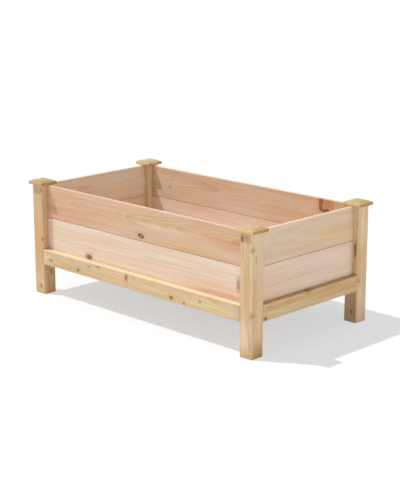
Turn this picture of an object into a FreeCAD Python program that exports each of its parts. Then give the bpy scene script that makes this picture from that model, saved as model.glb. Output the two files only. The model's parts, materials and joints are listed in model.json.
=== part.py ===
import FreeCAD, Part
import os

import Sketcher

# Raised garden bed on four short legs, made of planed softwood.
#
# Four square posts stand on the ground and carry everything. Low rails tie them together just
# above the legs, flush with the outer faces of the posts. Two tiers of thin boards stand on the
# rails, set back from the outer faces, so that each rail shows as a ledge below the boards. Rails
# and boards end in dovetail tongues, which slide down stopped dovetail grooves in the posts. A
# square cap with a bevelled top closes each post and covers the grooves, so no board can lift
# out. Inside, cleats screwed to the rails and one lengthwise beam carry a floor of spaced slats.
#
# Frame: millimetres, +Z up, origin on the ground at the centre of the bed. X runs along the long
# sides, the front long side faces -Y and the right end faces +X.
#
# Side frame: every piece of a side is drawn as if it stood in the front side. Local x runs along
# the side from the outer corner of its first post, local y runs inwards from the outer face.
# The piece's Placement then turns it to its own side.
#
# Screws, dowels and their holes repeat often, so they are drawn with flats whose corners lie on
# the true circle.

PARTS_FOLDER = "parts"
MM = FreeCAD.Vector

# Two places closer than this count as one when edges are looked up.
TOUCH = 1e-4

TIERS = ("lower", "upper")
SLAT_COUNT = 8
LONG_CLEAT_SCREWS = 5
END_CLEAT_SCREWS = 3
FLATS = 8
FLAT_TURN = 360 / FLATS

# Driving sizes. Each is written once, here, and reaches the model through the spreadsheet.
SIZES = [
    ("bed_length", 1219.0, "outer length over the posts"),
    ("bed_depth", 652.0, "outer depth over the posts"),
    ("leg_height", 129.0, "ground to the underside of the rails"),
    ("post_side", 58.5, "side of the square post"),
    ("post_arris", 2.5, "rounding of the post's long arrises"),
    ("foot_chamfer", 1.5, "chamfer round the foot of the post"),
    ("rail_height", 63.5, "height of a rail"),
    ("rail_depth", 38.1, "depth of a rail, from its outer to its inner face"),
    ("rail_nosing", 5.0, "rounding of the rail's upper outer arris"),
    ("rail_arris", 2.5, "rounding of the rail's lower arrises"),
    ("board_height", 133.0, "height of one tier"),
    ("board_thickness", 14.0, "thickness of a board"),
    ("board_arris", 1.8, "rounding of the board's long arrises"),
    ("board_drop", 1.5, "top of the upper board below the top of the post"),
    ("dovetail_depth", 10.0, "depth of the grooves in a post"),
    ("dovetail_neck", 7.0, "width of a groove at the face of the post"),
    ("dovetail_flare", 10.0, "width of a groove at its bottom"),
    ("dovetail_clearance", 0.25, "gap between a tongue and its groove"),
    ("shoulder_gap", 0.4, "gap between a shoulder and the face of the post"),
    ("cap_overhang", 11.75, "cap beyond each face of the post"),
    ("cap_rim", 11.0, "height of the cap's upright rim"),
    ("cap_rise", 7.0, "height of the cap's bevel"),
    ("cap_bevel", 16.0, "width of the cap's bevel, seen from above"),
    ("cap_corner", 1.5, "rounding of the cap's upright corners"),
    ("dowel_diameter", 8.0, "diameter of the dowel that pins the cap"),
    ("dowel_length", 30.0, "length of the dowel"),
    ("dowel_in_cap", 10.0, "depth of the dowel in the cap"),
    ("dowel_clearance", 0.15, "gap round the dowel and past its ends"),
    ("floor_drop", 5.0, "top of the floor below the top of the rails"),
    ("slat_thickness", 19.0, "thickness of a floor slat"),
    ("slat_gap", 5.6, "drainage gap beside each slat"),
    ("slat_end_gap", 1.5, "gap between a slat's end and the rail"),
    ("slat_arris", 0.8, "bevel of a slat's upper arrises"),
    ("notch_gap", 2.0, "gap between a notched slat and the post"),
    ("cleat_height", 38.0, "height of a cleat and of the beam"),
    ("cleat_depth", 19.0, "depth of a cleat"),
    ("cleat_arris", 2.0, "rounding of a cleat's lower inner arris"),
    ("cleat_end_gap", 1.0, "gap between a cleat and the post"),
    ("beam_width", 38.1, "width of the floor beam"),
    ("beam_lap", 19.0, "depth of the half lap between beam and end cleat"),
    ("beam_gap", 0.5, "gap at the sides and ends of the half lap"),
    ("screw_shank", 4.0, "diameter of a wood screw"),
    ("screw_head", 8.0, "diameter of its countersunk head"),
    ("screw_rim", 0.4, "height of the head's upright rim"),
    ("screw_tip", 0.4, "blunt end of its point, from the axis to a flat"),
    ("screw_clearance", 0.15, "gap round a screw in its hole"),
    ("screw_sink", 0.2, "head of a screw below the face of the wood"),
    ("pilot_spare", 1.0, "pilot hole past the point of its screw"),
    ("slat_screw_length", 35.0, "length of a slat screw"),
    ("slat_screw_edge", 28.0, "slat screw from the edge of its slat"),
    ("cleat_screw_length", 35.0, "length of a cleat screw"),
    ("cleat_screw_end", 60.0, "outermost cleat screw from the cleat's end"),
    ("cleat_screw_height", 11.0, "cleat screw above the cleat's underside"),
]

# Levels above the ground, and other lengths that several pieces share.
RAIL_TOP = "(sizes.leg_height + sizes.rail_height)"
POST_HEIGHT = f"({RAIL_TOP} + {len(TIERS)} * sizes.board_height + sizes.board_drop)"
SLAT_UNDERSIDE = f"({RAIL_TOP} - sizes.floor_drop - sizes.slat_thickness)"
CLEAT_UNDERSIDE = f"({SLAT_UNDERSIDE} - sizes.cleat_height)"
BOARD_SETBACK = "(sizes.rail_depth - sizes.board_thickness)"
TONGUE_CENTRE = "(sizes.rail_depth - sizes.board_thickness / 2)"
CLEAT_INNER_FACE = "(sizes.rail_depth + sizes.cleat_depth)"
SLAT_WIDTH = (
    f"((sizes.bed_length - 2 * sizes.rail_depth - {SLAT_COUNT + 1} * sizes.slat_gap) / {SLAT_COUNT})"
)
SLAT_STEP = f"({SLAT_WIDTH} + sizes.slat_gap)"
FIRST_SLAT = "(sizes.rail_depth + sizes.slat_gap)"
SLAT_LENGTH = "(sizes.bed_depth - 2 * sizes.rail_depth - 2 * sizes.slat_end_gap)"
SCREW_HOLE = "(sizes.screw_shank + 2 * sizes.screw_clearance)"
PILOT_REACH = "(sizes.screw_sink + sizes.pilot_spare)"
SLAT_PILOT_DEPTH = f"(sizes.slat_screw_length - sizes.slat_thickness + {PILOT_REACH})"
CLEAT_PILOT_DEPTH = f"(sizes.cleat_screw_length - sizes.cleat_depth + {PILOT_REACH})"

# Across a flatted circle: its centre to a flat, as a share of its radius, and a flat's width, as
# a share of its diameter.
TO_FLAT = f"cos({FLAT_TURN / 2}deg)"
FLAT_WIDTH = f"sin({FLAT_TURN / 2}deg)"
HEAD_CONE = f"((sizes.screw_head - sizes.screw_shank) / 2 * {TO_FLAT})"
COUNTERSINK = f"({HEAD_CONE} + sizes.screw_rim + sizes.screw_sink)"
DOWEL_HOLE = "(sizes.dowel_diameter + 2 * sizes.dowel_clearance)"

# A side's start corner as signs of X and Y, its turn in degrees and its length.
SIDES = {
    "front": (-1, -1, 0, "sizes.bed_length"),
    "right": (1, -1, 90, "sizes.bed_depth"),
    "rear": (1, 1, 180, "sizes.bed_length"),
    "left": (-1, 1, 270, "sizes.bed_depth"),
}
CORNERS = {
    "front_left": "front",
    "front_right": "right",
    "rear_right": "rear",
    "rear_left": "left",
}


def make_sheet(doc):
    """Writes the driving sizes to a spreadsheet, one aliased cell each."""
    sheet = doc.addObject("Spreadsheet::Sheet", "sizes")
    for row, (alias, size, note) in enumerate(SIZES, start=1):
        sheet.set(f"A{row}", alias)
        sheet.set(f"B{row}", str(size))
        sheet.set(f"C{row}", note)
        sheet.setAlias(f"B{row}", alias)
    doc.recompute()
    return sheet


class Piece:
    """One piece of wood or metal: a body whose sketches and features are bound to the sheet."""

    def __init__(self, doc, name):
        self.doc = doc
        self.body = doc.addObject("PartDesign::Body", name)
        self.body.Label = name

    def value(self, expression):
        """The number that an expression of the sheet's sizes has now."""
        return float(self.body.evalExpression(expression))

    def feature(self, kind, name):
        return self.body.newObject(f"PartDesign::{kind}", f"{self.body.Name}_{name}")

    def sketch(self, name, plane="XY_Plane", lift=None):
        """An empty sketch on one of the body's own planes, lifted along the plane's normal."""
        made = self.body.newObject("Sketcher::SketchObject", f"{self.body.Name}_{name}")
        support = next(o for o in self.body.Origin.OriginFeatures if o.Role == plane)
        made.AttachmentSupport = [(support, "")]
        made.MapMode = "FlatFace"
        if lift is not None:
            made.setExpression("AttachmentOffset.Base.z", lift)
        return made

    def polygon(self, sketch, corners):
        """A closed outline whose corners are pairs of expressions, each tied to the axes."""
        places = [MM(self.value(x), self.value(y), 0) for x, y in corners]
        followers = places[1:] + places[:1]
        sides = [Part.LineSegment(start, end) for start, end in zip(places, followers)]
        lines = sketch.addGeometry(sides, False)
        constraints = []
        bindings = {}
        for i, corner in enumerate(corners):
            constraints.append(Sketcher.Constraint("Coincident", lines[i - 1], 2, lines[i], 1))
            for kind, axis, coordinate in zip(("DistanceX", "DistanceY"), (-2, -1), corner):
                if coordinate == "0":
                    on_axis = Sketcher.Constraint("PointOnObject", lines[i], 1, axis)
                    constraints.append(on_axis)
                    continue
                bindings[sketch.ConstraintCount + len(constraints)] = coordinate
                distance = self.value(coordinate)
                constraints.append(Sketcher.Constraint(kind, -1, 1, lines[i], 1, distance))
        sketch.addConstraint(constraints)
        for index, coordinate in bindings.items():
            sketch.setExpression(f"Constraints[{index}]", coordinate)

    def rectangle(self, sketch, x_low, x_high, y_low, y_high):
        self.polygon(
            sketch, [(x_low, y_low), (x_high, y_low), (x_high, y_high), (x_low, y_high)]
        )

    def flatted_circle(self, sketch, x, y, diameter):
        """The outline of a small pin or hole: flats with their corners on a circle."""
        turns = [(i + 0.5) * FLAT_TURN for i in range(FLATS)]
        self.polygon(
            sketch,
            [
                (f"{x} + {diameter} / 2 * cos({turn}deg)", f"{y} + {diameter} / 2 * sin({turn}deg)")
                for turn in turns
            ],
        )

    def pad(self, sketch, length, name="blank", midplane=False, downwards=False):
        pad = self.feature("Pad", name)
        pad.Profile = sketch
        pad.setExpression("Length", length)
        pad.Midplane = midplane
        pad.Reversed = downwards
        self.doc.recompute()
        return pad

    def pocket(self, name, sketch, depth, along_normal=False):
        """Cuts a sketch to a depth, and makes sure that something was cut."""
        before = self.volume()
        pocket = self.feature("Pocket", name)
        pocket.Profile = sketch
        pocket.setExpression("Length", depth)
        pocket.Reversed = along_normal
        self.doc.recompute()
        self.must_shrink(name, before)
        return pocket

    def repeat(self, name, original, sketch, span, copies):
        """Repeats a cut along the sketch's own horizontal axis."""
        before = self.volume()
        pattern = self.feature("LinearPattern", name)
        pattern.Originals = [original]
        pattern.Direction = (sketch, ["H_Axis"])
        pattern.setExpression("Length", span)
        pattern.Occurrences = copies
        self.body.Tip = pattern
        self.doc.recompute()
        self.must_shrink(name, before)
        return pattern

    def round_over(self, name, edges, radius):
        base = self.body.Tip
        fillet = self.feature("Fillet", name)
        fillet.Base = (base, edges)
        fillet.setExpression("Radius", radius)
        self.doc.recompute()
        return fillet

    def bevel(self, name, edges, size, inset=None):
        """Chamfers edges. With an inset, size is the chamfer's height and inset its width."""
        base = self.body.Tip
        before = self.volume()
        chamfer = self.feature("Chamfer", name)
        chamfer.Base = (base, edges)
        chamfer.setExpression("Size", size)
        if inset is not None:
            chamfer.ChamferType = "Two distances"
            chamfer.setExpression("Size2", inset)
        self.doc.recompute()
        self.must_shrink(name, before)
        return chamfer

    def countersink(self, name, axis, place):
        """Opens the mouths of the screw holes in the face that lies across an axis."""
        flat = self.value(f"{SCREW_HOLE} * {FLAT_WIDTH}")
        mouths = [
            edge_name
            for edge_name in self.edges_in_plane(axis, place)
            if abs(self.body.Tip.Shape.getElement(edge_name).Length - flat) < TOUCH
        ]
        return self.bevel(name, mouths, COUNTERSINK)

    def edges_in_plane(self, axis, place):
        """Names of the edges that lie wholly at one coordinate of an axis."""
        found = []
        for number, edge in enumerate(self.body.Tip.Shape.Edges, start=1):
            span = edge.BoundBox
            ends = (getattr(span, f"{axis.upper()}Min"), getattr(span, f"{axis.upper()}Max"))
            if all(abs(end - self.value(place)) < TOUCH for end in ends):
                found.append(f"Edge{number}")
        if not found:
            raise RuntimeError(f"{self.body.Label}: no edge at {axis} = {place}")
        return found

    def edges_along(self, direction, **places):
        """Names of the straight edges along an axis whose middle lies at the given coordinates."""
        found = []
        for number, edge in enumerate(self.body.Tip.Shape.Edges, start=1):
            middle = edge.CenterOfMass
            span = edge.BoundBox
            lengths = {"x": span.XLength, "y": span.YLength, "z": span.ZLength}
            across = [length for axis, length in lengths.items() if axis != direction]
            straight = max(across) < TOUCH
            if straight and all(
                abs(getattr(middle, axis) - self.value(place)) < TOUCH
                for axis, place in places.items()
            ):
                found.append(f"Edge{number}")
        if not found:
            raise RuntimeError(f"{self.body.Label}: no edge along {direction} at {places}")
        return found

    def volume(self):
        return self.body.Shape.Volume

    def must_shrink(self, name, before):
        if not self.volume() < before - 1e-3:
            raise RuntimeError(f"{self.body.Label}: {name} cuts nothing")

    def stand_in_side(self, side, level):
        """Places a piece that is drawn in the side frame, with its local z = 0 at a level."""
        x_sign, y_sign, turn, _ = SIDES[side]
        self.body.Placement = FreeCAD.Placement(
            MM(0, 0, 0), FreeCAD.Rotation(MM(0, 0, 1), turn)
        )
        self.body.setExpression("Placement.Base.x", f"{x_sign} * sizes.bed_length / 2")
        self.body.setExpression("Placement.Base.y", f"{y_sign} * sizes.bed_depth / 2")
        self.body.setExpression("Placement.Base.z", level)


def groove_corners(x_first):
    """Plan outline of one dovetail groove in a post, in the face that x or y crosses."""
    face = "sizes.post_side"
    bottom = "sizes.post_side - sizes.dovetail_depth"
    corners = [
        (face, f"{TONGUE_CENTRE} - sizes.dovetail_neck / 2"),
        (face, f"{TONGUE_CENTRE} + sizes.dovetail_neck / 2"),
        (bottom, f"{TONGUE_CENTRE} + sizes.dovetail_flare / 2"),
        (bottom, f"{TONGUE_CENTRE} - sizes.dovetail_flare / 2"),
    ]
    return corners if x_first else [(y, x) for x, y in corners]


def tongued_bar(run, outer_face, inner_face):
    """Plan outline of a bar between two posts, with a dovetail tongue on each end."""
    clearance = "sizes.dovetail_clearance"
    start = "sizes.post_side + sizes.shoulder_gap"
    end = f"{run} - sizes.post_side - sizes.shoulder_gap"
    start_tip = f"sizes.post_side - sizes.dovetail_depth + {clearance}"
    end_tip = f"{run} - sizes.post_side + sizes.dovetail_depth - {clearance}"
    neck = f"(sizes.dovetail_neck / 2 - {clearance})"
    flare = f"(sizes.dovetail_flare / 2 - {clearance})"
    return [
        (start, outer_face),
        (end, outer_face),
        (end, f"{TONGUE_CENTRE} - {neck}"),
        (end_tip, f"{TONGUE_CENTRE} - {flare}"),
        (end_tip, f"{TONGUE_CENTRE} + {flare}"),
        (end, f"{TONGUE_CENTRE} + {neck}"),
        (end, inner_face),
        (start, inner_face),
        (start, f"{TONGUE_CENTRE} + {neck}"),
        (start_tip, f"{TONGUE_CENTRE} + {flare}"),
        (start_tip, f"{TONGUE_CENTRE} - {flare}"),
        (start, f"{TONGUE_CENTRE} - {neck}"),
    ]


def make_post(doc, corner):
    """A square post with eased arrises, two stopped dovetail grooves and a dowel hole on top."""
    post = Piece(doc, f"post_{corner}")
    square = post.sketch("square")
    post.rectangle(square, "0", "sizes.post_side", "0", "sizes.post_side")
    post.pad(square, POST_HEIGHT)
    post.round_over("arrises", post.edges_along("z"), "sizes.post_arris")

    post.bevel("foot", post.edges_in_plane("z", "0"), "sizes.foot_chamfer")

    grooves = post.sketch("grooves", lift="sizes.leg_height")
    post.polygon(grooves, groove_corners(True))
    post.polygon(grooves, groove_corners(False))
    post.pocket("dovetails", grooves, f"{POST_HEIGHT} - sizes.leg_height", along_normal=True)

    top = post.sketch("dowel", lift=POST_HEIGHT)
    post.flatted_circle(top, "sizes.post_side / 2", "sizes.post_side / 2", DOWEL_HOLE)
    in_post = "sizes.dowel_length - sizes.dowel_in_cap + sizes.dowel_clearance"
    post.pocket("dowel_hole", top, in_post)
    post.stand_in_side(CORNERS[corner], "0")
    return post


def make_cap(doc, corner):
    """A square cap with an upright rim and a bevelled top, with a blind dowel hole below."""
    cap = Piece(doc, f"cap_{corner}")
    low = "-sizes.cap_overhang"
    high = "sizes.post_side + sizes.cap_overhang"
    square = cap.sketch("square")
    cap.rectangle(square, low, high, low, high)
    cap.pad(square, "sizes.cap_rim + sizes.cap_rise")
    top = cap.edges_in_plane("z", "sizes.cap_rim + sizes.cap_rise")
    cap.bevel("top", top, "sizes.cap_rise", inset="sizes.cap_bevel")
    corners = cap.edges_along("z", z="sizes.cap_rim / 2")
    cap.round_over("corners", corners, "sizes.cap_corner")

    socket = cap.sketch("dowel")
    cap.flatted_circle(socket, "sizes.post_side / 2", "sizes.post_side / 2", DOWEL_HOLE)
    in_cap = "sizes.dowel_in_cap + sizes.dowel_clearance"
    cap.pocket("dowel_hole", socket, in_cap, along_normal=True)
    cap.stand_in_side(CORNERS[corner], POST_HEIGHT)
    return cap


def make_rail(doc, side, cleat_screws):
    """A rail between two posts, with a rounded nosing and pilot holes for the cleat's screws."""
    rail = Piece(doc, f"rail_{side}")
    run = SIDES[side][3]
    plan = rail.sketch("plan")
    rail.polygon(plan, tongued_bar(run, "0", "sizes.rail_depth"))
    rail.pad(plan, "sizes.rail_height")
    nosing = rail.edges_along("x", y="0", z="sizes.rail_height")
    rail.round_over("nosing", nosing, "sizes.rail_nosing")
    below = rail.edges_along("x", y="0", z="0") + rail.edges_along(
        "x", y="sizes.rail_depth", z="0"
    )
    rail.round_over("lower_arrises", below, "sizes.rail_arris")

    pilot = rail.sketch("pilot", plane="XZ_Plane", lift="-sizes.rail_depth")
    height = f"{CLEAT_UNDERSIDE} - sizes.leg_height + sizes.cleat_screw_height"
    rail.flatted_circle(pilot, first_cleat_screw(), height, SCREW_HOLE)
    hole = rail.pocket("pilot_hole", pilot, CLEAT_PILOT_DEPTH, along_normal=True)
    rail.repeat("pilot_holes", hole, pilot, cleat_screw_span(run), cleat_screws)
    rail.stand_in_side(side, "sizes.leg_height")
    return rail


def make_board(doc, side, tier):
    """One board of a side: thin, eased along its arrises, dovetailed into the posts."""
    board = Piece(doc, f"board_{side}_{TIERS[tier]}")
    plan = board.sketch("plan")
    run = SIDES[side][3]
    board.polygon(plan, tongued_bar(run, BOARD_SETBACK, "sizes.rail_depth"))
    board.pad(plan, "sizes.board_height")
    arrises = [
        name
        for y in (BOARD_SETBACK, "sizes.rail_depth")
        for z in ("0", "sizes.board_height")
        for name in board.edges_along("x", y=y, z=z)
    ]
    board.round_over("arrises", arrises, "sizes.board_arris")
    board.stand_in_side(side, f"{RAIL_TOP} + {tier} * sizes.board_height")
    return board


def first_cleat_screw():
    """Where a cleat's first screw is along its side."""
    return "sizes.post_side + sizes.cleat_end_gap + sizes.cleat_screw_end"


def cleat_screw_span(run):
    """From a cleat's first screw to its last."""
    return f"{run} - 2 * ({first_cleat_screw()})"


def make_cleat(doc, side, screws):
    """A cleat along the inner face of a rail, drilled and countersunk for its screws."""
    cleat = Piece(doc, f"cleat_{side}")
    run = SIDES[side][3]
    plan = cleat.sketch("plan")
    start = "sizes.post_side + sizes.cleat_end_gap"
    end = f"{run} - sizes.post_side - sizes.cleat_end_gap"
    cleat.rectangle(plan, start, end, "sizes.rail_depth", CLEAT_INNER_FACE)
    cleat.pad(plan, "sizes.cleat_height")
    arris = cleat.edges_along("x", y=CLEAT_INNER_FACE, z="0")
    cleat.round_over("arris", arris, "sizes.cleat_arris")

    drilled = cleat.sketch("screw", plane="XZ_Plane", lift="-sizes.rail_depth")
    cleat.flatted_circle(drilled, first_cleat_screw(), "sizes.cleat_screw_height", SCREW_HOLE)
    hole = cleat.pocket("screw_hole", drilled, "sizes.cleat_depth")
    cleat.repeat("screw_holes", hole, drilled, cleat_screw_span(run), screws)
    cleat.countersink("countersinks", "y", CLEAT_INNER_FACE)
    cleat.stand_in_side(side, CLEAT_UNDERSIDE)
    return cleat


def pilot_slat_screws(carrier, screw_places, y):
    """Blind pilot holes for the slats' screws in the top of a cleat or of the beam."""
    pilot = carrier.sketch("slat_pilot", lift="sizes.cleat_height")
    for place in screw_places:
        carrier.flatted_circle(pilot, f"{FIRST_SLAT} + {place}", y, SCREW_HOLE)
    hole = carrier.pocket("slat_pilot_hole", pilot, SLAT_PILOT_DEPTH)
    span = f"{SLAT_COUNT - 1} * {SLAT_STEP}"
    carrier.repeat("slat_pilot_holes", hole, pilot, span, SLAT_COUNT)


def edge_screw_places():
    """Where a slat's end screws are across its width."""
    return ["sizes.slat_screw_edge", f"({SLAT_WIDTH} - sizes.slat_screw_edge)"]


def make_long_cleat(doc, side):
    cleat = make_cleat(doc, side, LONG_CLEAT_SCREWS)
    middle = "sizes.rail_depth + sizes.cleat_depth / 2"
    pilot_slat_screws(cleat, edge_screw_places(), middle)
    return cleat


def make_end_cleat(doc, side):
    """An end cleat, housed out at its middle for the half lap of the beam."""
    cleat = make_cleat(doc, side, END_CLEAT_SCREWS)
    run = SIDES[side][3]
    housing = cleat.sketch("housing", lift="sizes.cleat_height")
    half_width = "(sizes.beam_width / 2 + sizes.beam_gap)"
    cleat.rectangle(
        housing,
        f"{run} / 2 - {half_width}",
        f"{run} / 2 + {half_width}",
        "sizes.rail_depth",
        CLEAT_INNER_FACE,
    )
    cleat.pocket("beam_housing", housing, "sizes.beam_lap")
    return cleat


def make_beam(doc):
    """The lengthwise floor beam, half lapped at both ends to sit in the end cleats."""
    beam = Piece(doc, "floor_beam")
    side_view = beam.sketch("side_view", plane="XZ_Plane")
    left_tip = "sizes.rail_depth + sizes.beam_gap"
    right_tip = "sizes.bed_length - sizes.rail_depth - sizes.beam_gap"
    left_shoulder = f"{CLEAT_INNER_FACE} + sizes.beam_gap"
    right_shoulder = f"sizes.bed_length - {CLEAT_INNER_FACE} - sizes.beam_gap"
    lap = "sizes.cleat_height - sizes.beam_lap"
    beam.polygon(
        side_view,
        [
            (left_shoulder, "0"),
            (right_shoulder, "0"),
            (right_shoulder, lap),
            (right_tip, lap),
            (right_tip, "sizes.cleat_height"),
            (left_tip, "sizes.cleat_height"),
            (left_tip, lap),
            (left_shoulder, lap),
        ],
    )
    beam.pad(side_view, "sizes.beam_width", midplane=True)
    pilot_slat_screws(beam, [f"{SLAT_WIDTH} / 2"], "0")
    beam.body.setExpression("Placement.Base.x", "-sizes.bed_length / 2")
    beam.body.setExpression("Placement.Base.z", CLEAT_UNDERSIDE)
    return beam


def make_slat(doc, number):
    """One floor slat, drilled for its screws. The end slats are notched round the posts."""
    slat = Piece(doc, f"floor_slat_{number}")
    plan = slat.sketch("plan")
    half_length = f"{SLAT_LENGTH} / 2"
    slat.rectangle(plan, "0", SLAT_WIDTH, f"-{half_length}", half_length)
    slat.pad(plan, "sizes.slat_thickness")
    upper = [
        name
        for x in ("0", SLAT_WIDTH)
        for name in slat.edges_along("y", x=x, z="sizes.slat_thickness")
    ]
    slat.bevel("arrises", upper, "sizes.slat_arris")

    screws = slat.sketch("screws", lift="sizes.slat_thickness")
    cleat_line = "(sizes.bed_depth / 2 - sizes.rail_depth - sizes.cleat_depth / 2)"
    for x in edge_screw_places():
        slat.flatted_circle(screws, x, cleat_line, SCREW_HOLE)
        slat.flatted_circle(screws, x, f"-{cleat_line}", SCREW_HOLE)
    slat.flatted_circle(screws, f"{SLAT_WIDTH} / 2", "0", SCREW_HOLE)
    slat.pocket("screw_holes", screws, "sizes.slat_thickness")
    slat.countersink("countersinks", "z", "sizes.slat_thickness")

    at_end = number in (1, SLAT_COUNT)
    if at_end:
        notches = slat.sketch("notches", lift="sizes.slat_thickness")
        notch_width = f"sizes.post_side + sizes.notch_gap - {FIRST_SLAT}"
        shoulder = "sizes.bed_depth / 2 - sizes.post_side - sizes.notch_gap"
        slat.rectangle(notches, "0", notch_width, shoulder, half_length)
        slat.rectangle(notches, "0", notch_width, f"-{half_length}", f"-({shoulder})")
        slat.pocket("post_notches", notches, "sizes.slat_thickness")

    if number == SLAT_COUNT:
        half_turn = FreeCAD.Rotation(MM(0, 0, 1), 180)
        slat.body.Placement = FreeCAD.Placement(MM(0, 0, 0), half_turn)
        slat.body.setExpression("Placement.Base.x", f"sizes.bed_length / 2 - {FIRST_SLAT}")
    else:
        place = f"{FIRST_SLAT} + {number - 1} * {SLAT_STEP} - sizes.bed_length / 2"
        slat.body.setExpression("Placement.Base.x", place)
    slat.body.setExpression("Placement.Base.z", SLAT_UNDERSIDE)
    return slat


def make_screw_pattern(doc, name, length):
    """The pattern of a countersunk wood screw, head up, with its head's top at z = 0."""
    screw = Piece(doc, name)
    head_height = f"({HEAD_CONE} + sizes.screw_rim)"
    head = screw.sketch("head")
    screw.flatted_circle(head, "0", "0", "sizes.screw_head")
    screw.pad(head, head_height, name="head_blank", downwards=True)
    screw.bevel("head_cone", screw.edges_in_plane("z", f"-{head_height}"), HEAD_CONE)

    shank = screw.sketch("shank", lift=f"-{head_height}")
    screw.flatted_circle(shank, "0", "0", "sizes.screw_shank")
    screw.pad(shank, f"{length} - {head_height}", name="shank_blank", downwards=True)
    end = screw.edges_in_plane("z", f"-{length}")
    screw.bevel("point", end, f"sizes.screw_shank / 2 * {TO_FLAT} - sizes.screw_tip")
    return screw


def make_dowel_pattern(doc):
    """The pattern of a plain dowel, upright, with its lower end at z = 0."""
    dowel = Piece(doc, "dowel_pattern")
    section = dowel.sketch("section")
    dowel.flatted_circle(section, "0", "0", "sizes.dowel_diameter")
    dowel.pad(section, "sizes.dowel_length - sizes.dowel_clearance")
    return dowel


def place_copies(doc, name, pattern, placements):
    """A group of separate, identical solids, one at each placement."""
    copies = []
    for placement in placements:
        copy = pattern.body.Shape.copy()
        copy.Placement = placement.multiply(copy.Placement)
        copies.append(copy)
    group = doc.addObject("Part::Feature", name)
    group.Label = name
    group.Shape = Part.makeCompound(copies)
    return group


def slat_screw_placements(value):
    """Screws through every slat: two over each long cleat and one over the beam."""
    top = value(f"{SLAT_UNDERSIDE} + sizes.slat_thickness - sizes.screw_sink")
    cleat_line = value("sizes.bed_depth / 2 - sizes.rail_depth - sizes.cleat_depth / 2")
    places = []
    for number in range(SLAT_COUNT):
        start = value(f"{FIRST_SLAT} + {number} * {SLAT_STEP} - sizes.bed_length / 2")
        for across in edge_screw_places():
            x = start + value(across)
            places += [MM(x, -cleat_line, top), MM(x, cleat_line, top)]
        places.append(MM(start + value(f"{SLAT_WIDTH} / 2"), 0, top))
    return [FreeCAD.Placement(place, FreeCAD.Rotation()) for place in places]


def cleat_screw_placements(value):
    """Screws from the inner face of every cleat into its rail, in the side frame of each side."""
    height = value(f"{CLEAT_UNDERSIDE} + sizes.cleat_screw_height")
    face = value(f"{CLEAT_INNER_FACE} - sizes.screw_sink")
    head_inwards = FreeCAD.Rotation(MM(1, 0, 0), -90)
    placements = []
    for side, (x_sign, y_sign, turn, run) in SIDES.items():
        count = LONG_CLEAT_SCREWS if run == "sizes.bed_length" else END_CLEAT_SCREWS
        first = value(first_cleat_screw())
        step = value(cleat_screw_span(run)) / (count - 1)
        corner = MM(
            x_sign * value("sizes.bed_length / 2"), y_sign * value("sizes.bed_depth / 2"), 0
        )
        to_side = FreeCAD.Placement(corner, FreeCAD.Rotation(MM(0, 0, 1), turn))
        for i in range(count):
            in_side = FreeCAD.Placement(MM(first + i * step, face, height), head_inwards)
            placements.append(to_side.multiply(in_side))
    return placements


def dowel_placements(value):
    """One dowel on the axis of each post, from the post into its cap."""
    foot = value(f"{POST_HEIGHT} - sizes.dowel_length + sizes.dowel_in_cap")
    x = value("sizes.bed_length / 2 - sizes.post_side / 2")
    y = value("sizes.bed_depth / 2 - sizes.post_side / 2")
    places = [MM(sx * x, sy * y, foot) for sx in (-1, 1) for sy in (-1, 1)]
    return [FreeCAD.Placement(place, FreeCAD.Rotation()) for place in places]


def make_bed(doc):
    """Builds every piece and returns the objects that are exported, one per node."""
    make_sheet(doc)
    pieces = []
    for corner in CORNERS:
        pieces += [make_post(doc, corner), make_cap(doc, corner)]
    for side, (_, _, _, run) in SIDES.items():
        is_long = run == "sizes.bed_length"
        screws = LONG_CLEAT_SCREWS if is_long else END_CLEAT_SCREWS
        pieces.append(make_rail(doc, side, screws))
        pieces += [make_board(doc, side, tier) for tier in range(len(TIERS))]
        pieces.append(make_long_cleat(doc, side) if is_long else make_end_cleat(doc, side))
    pieces.append(make_beam(doc))
    pieces += [make_slat(doc, number) for number in range(1, SLAT_COUNT + 1)]

    slat_screw = make_screw_pattern(doc, "slat_screw_pattern", "sizes.slat_screw_length")
    cleat_screw = make_screw_pattern(doc, "cleat_screw_pattern", "sizes.cleat_screw_length")
    dowel = make_dowel_pattern(doc)
    value = dowel.value
    groups = [
        place_copies(doc, "slat_screws", slat_screw, slat_screw_placements(value)),
        place_copies(doc, "cleat_screws", cleat_screw, cleat_screw_placements(value)),
        place_copies(doc, "cap_dowels", dowel, dowel_placements(value)),
    ]
    doc.recompute()
    return [piece.body for piece in pieces] + groups


def check(doc, nodes):
    """Stops if any object failed to build or any node's shape is missing or broken."""
    for made in doc.Objects:
        if {"Invalid", "Error"} & set(made.State):
            raise RuntimeError(f"{made.Label} failed: {made.State}")
    for node in nodes:
        if node.Shape.isNull() or not node.Shape.isValid() or not node.Shape.Solids:
            raise RuntimeError(f"{node.Label} has no valid solid")


def export(nodes):
    """Writes one STEP file per node and prints each node's volume."""
    os.makedirs(PARTS_FOLDER, exist_ok=True)
    for node in nodes:
        node.Shape.exportStep(f"{PARTS_FOLDER}/{node.Label}.step")
        solids = len(node.Shape.Solids)
        print(f"{node.Label:24s} solids {solids:3d}  volume {node.Shape.Volume / 1000:9.1f} cm3")


def main():
    doc = FreeCAD.newDocument("raised_garden_bed")
    nodes = make_bed(doc)
    check(doc, nodes)
    export(nodes)


main()
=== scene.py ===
"""Looks of a raised garden bed: planed lumber, countersunk screws, a pale studio and the camera.

Every visible piece of wood is modelled here as a planed stick with eased arrises and the tongues,
grooves and laps that join it, and takes its place from the construction. All lengths are metres.
"""

import json
import logging
import math
from collections.abc import Callable, Mapping, Sequence
from dataclasses import dataclass, field, replace
from enum import Enum

import bmesh
import bpy
from mathutils import Matrix, Vector, noise

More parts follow.
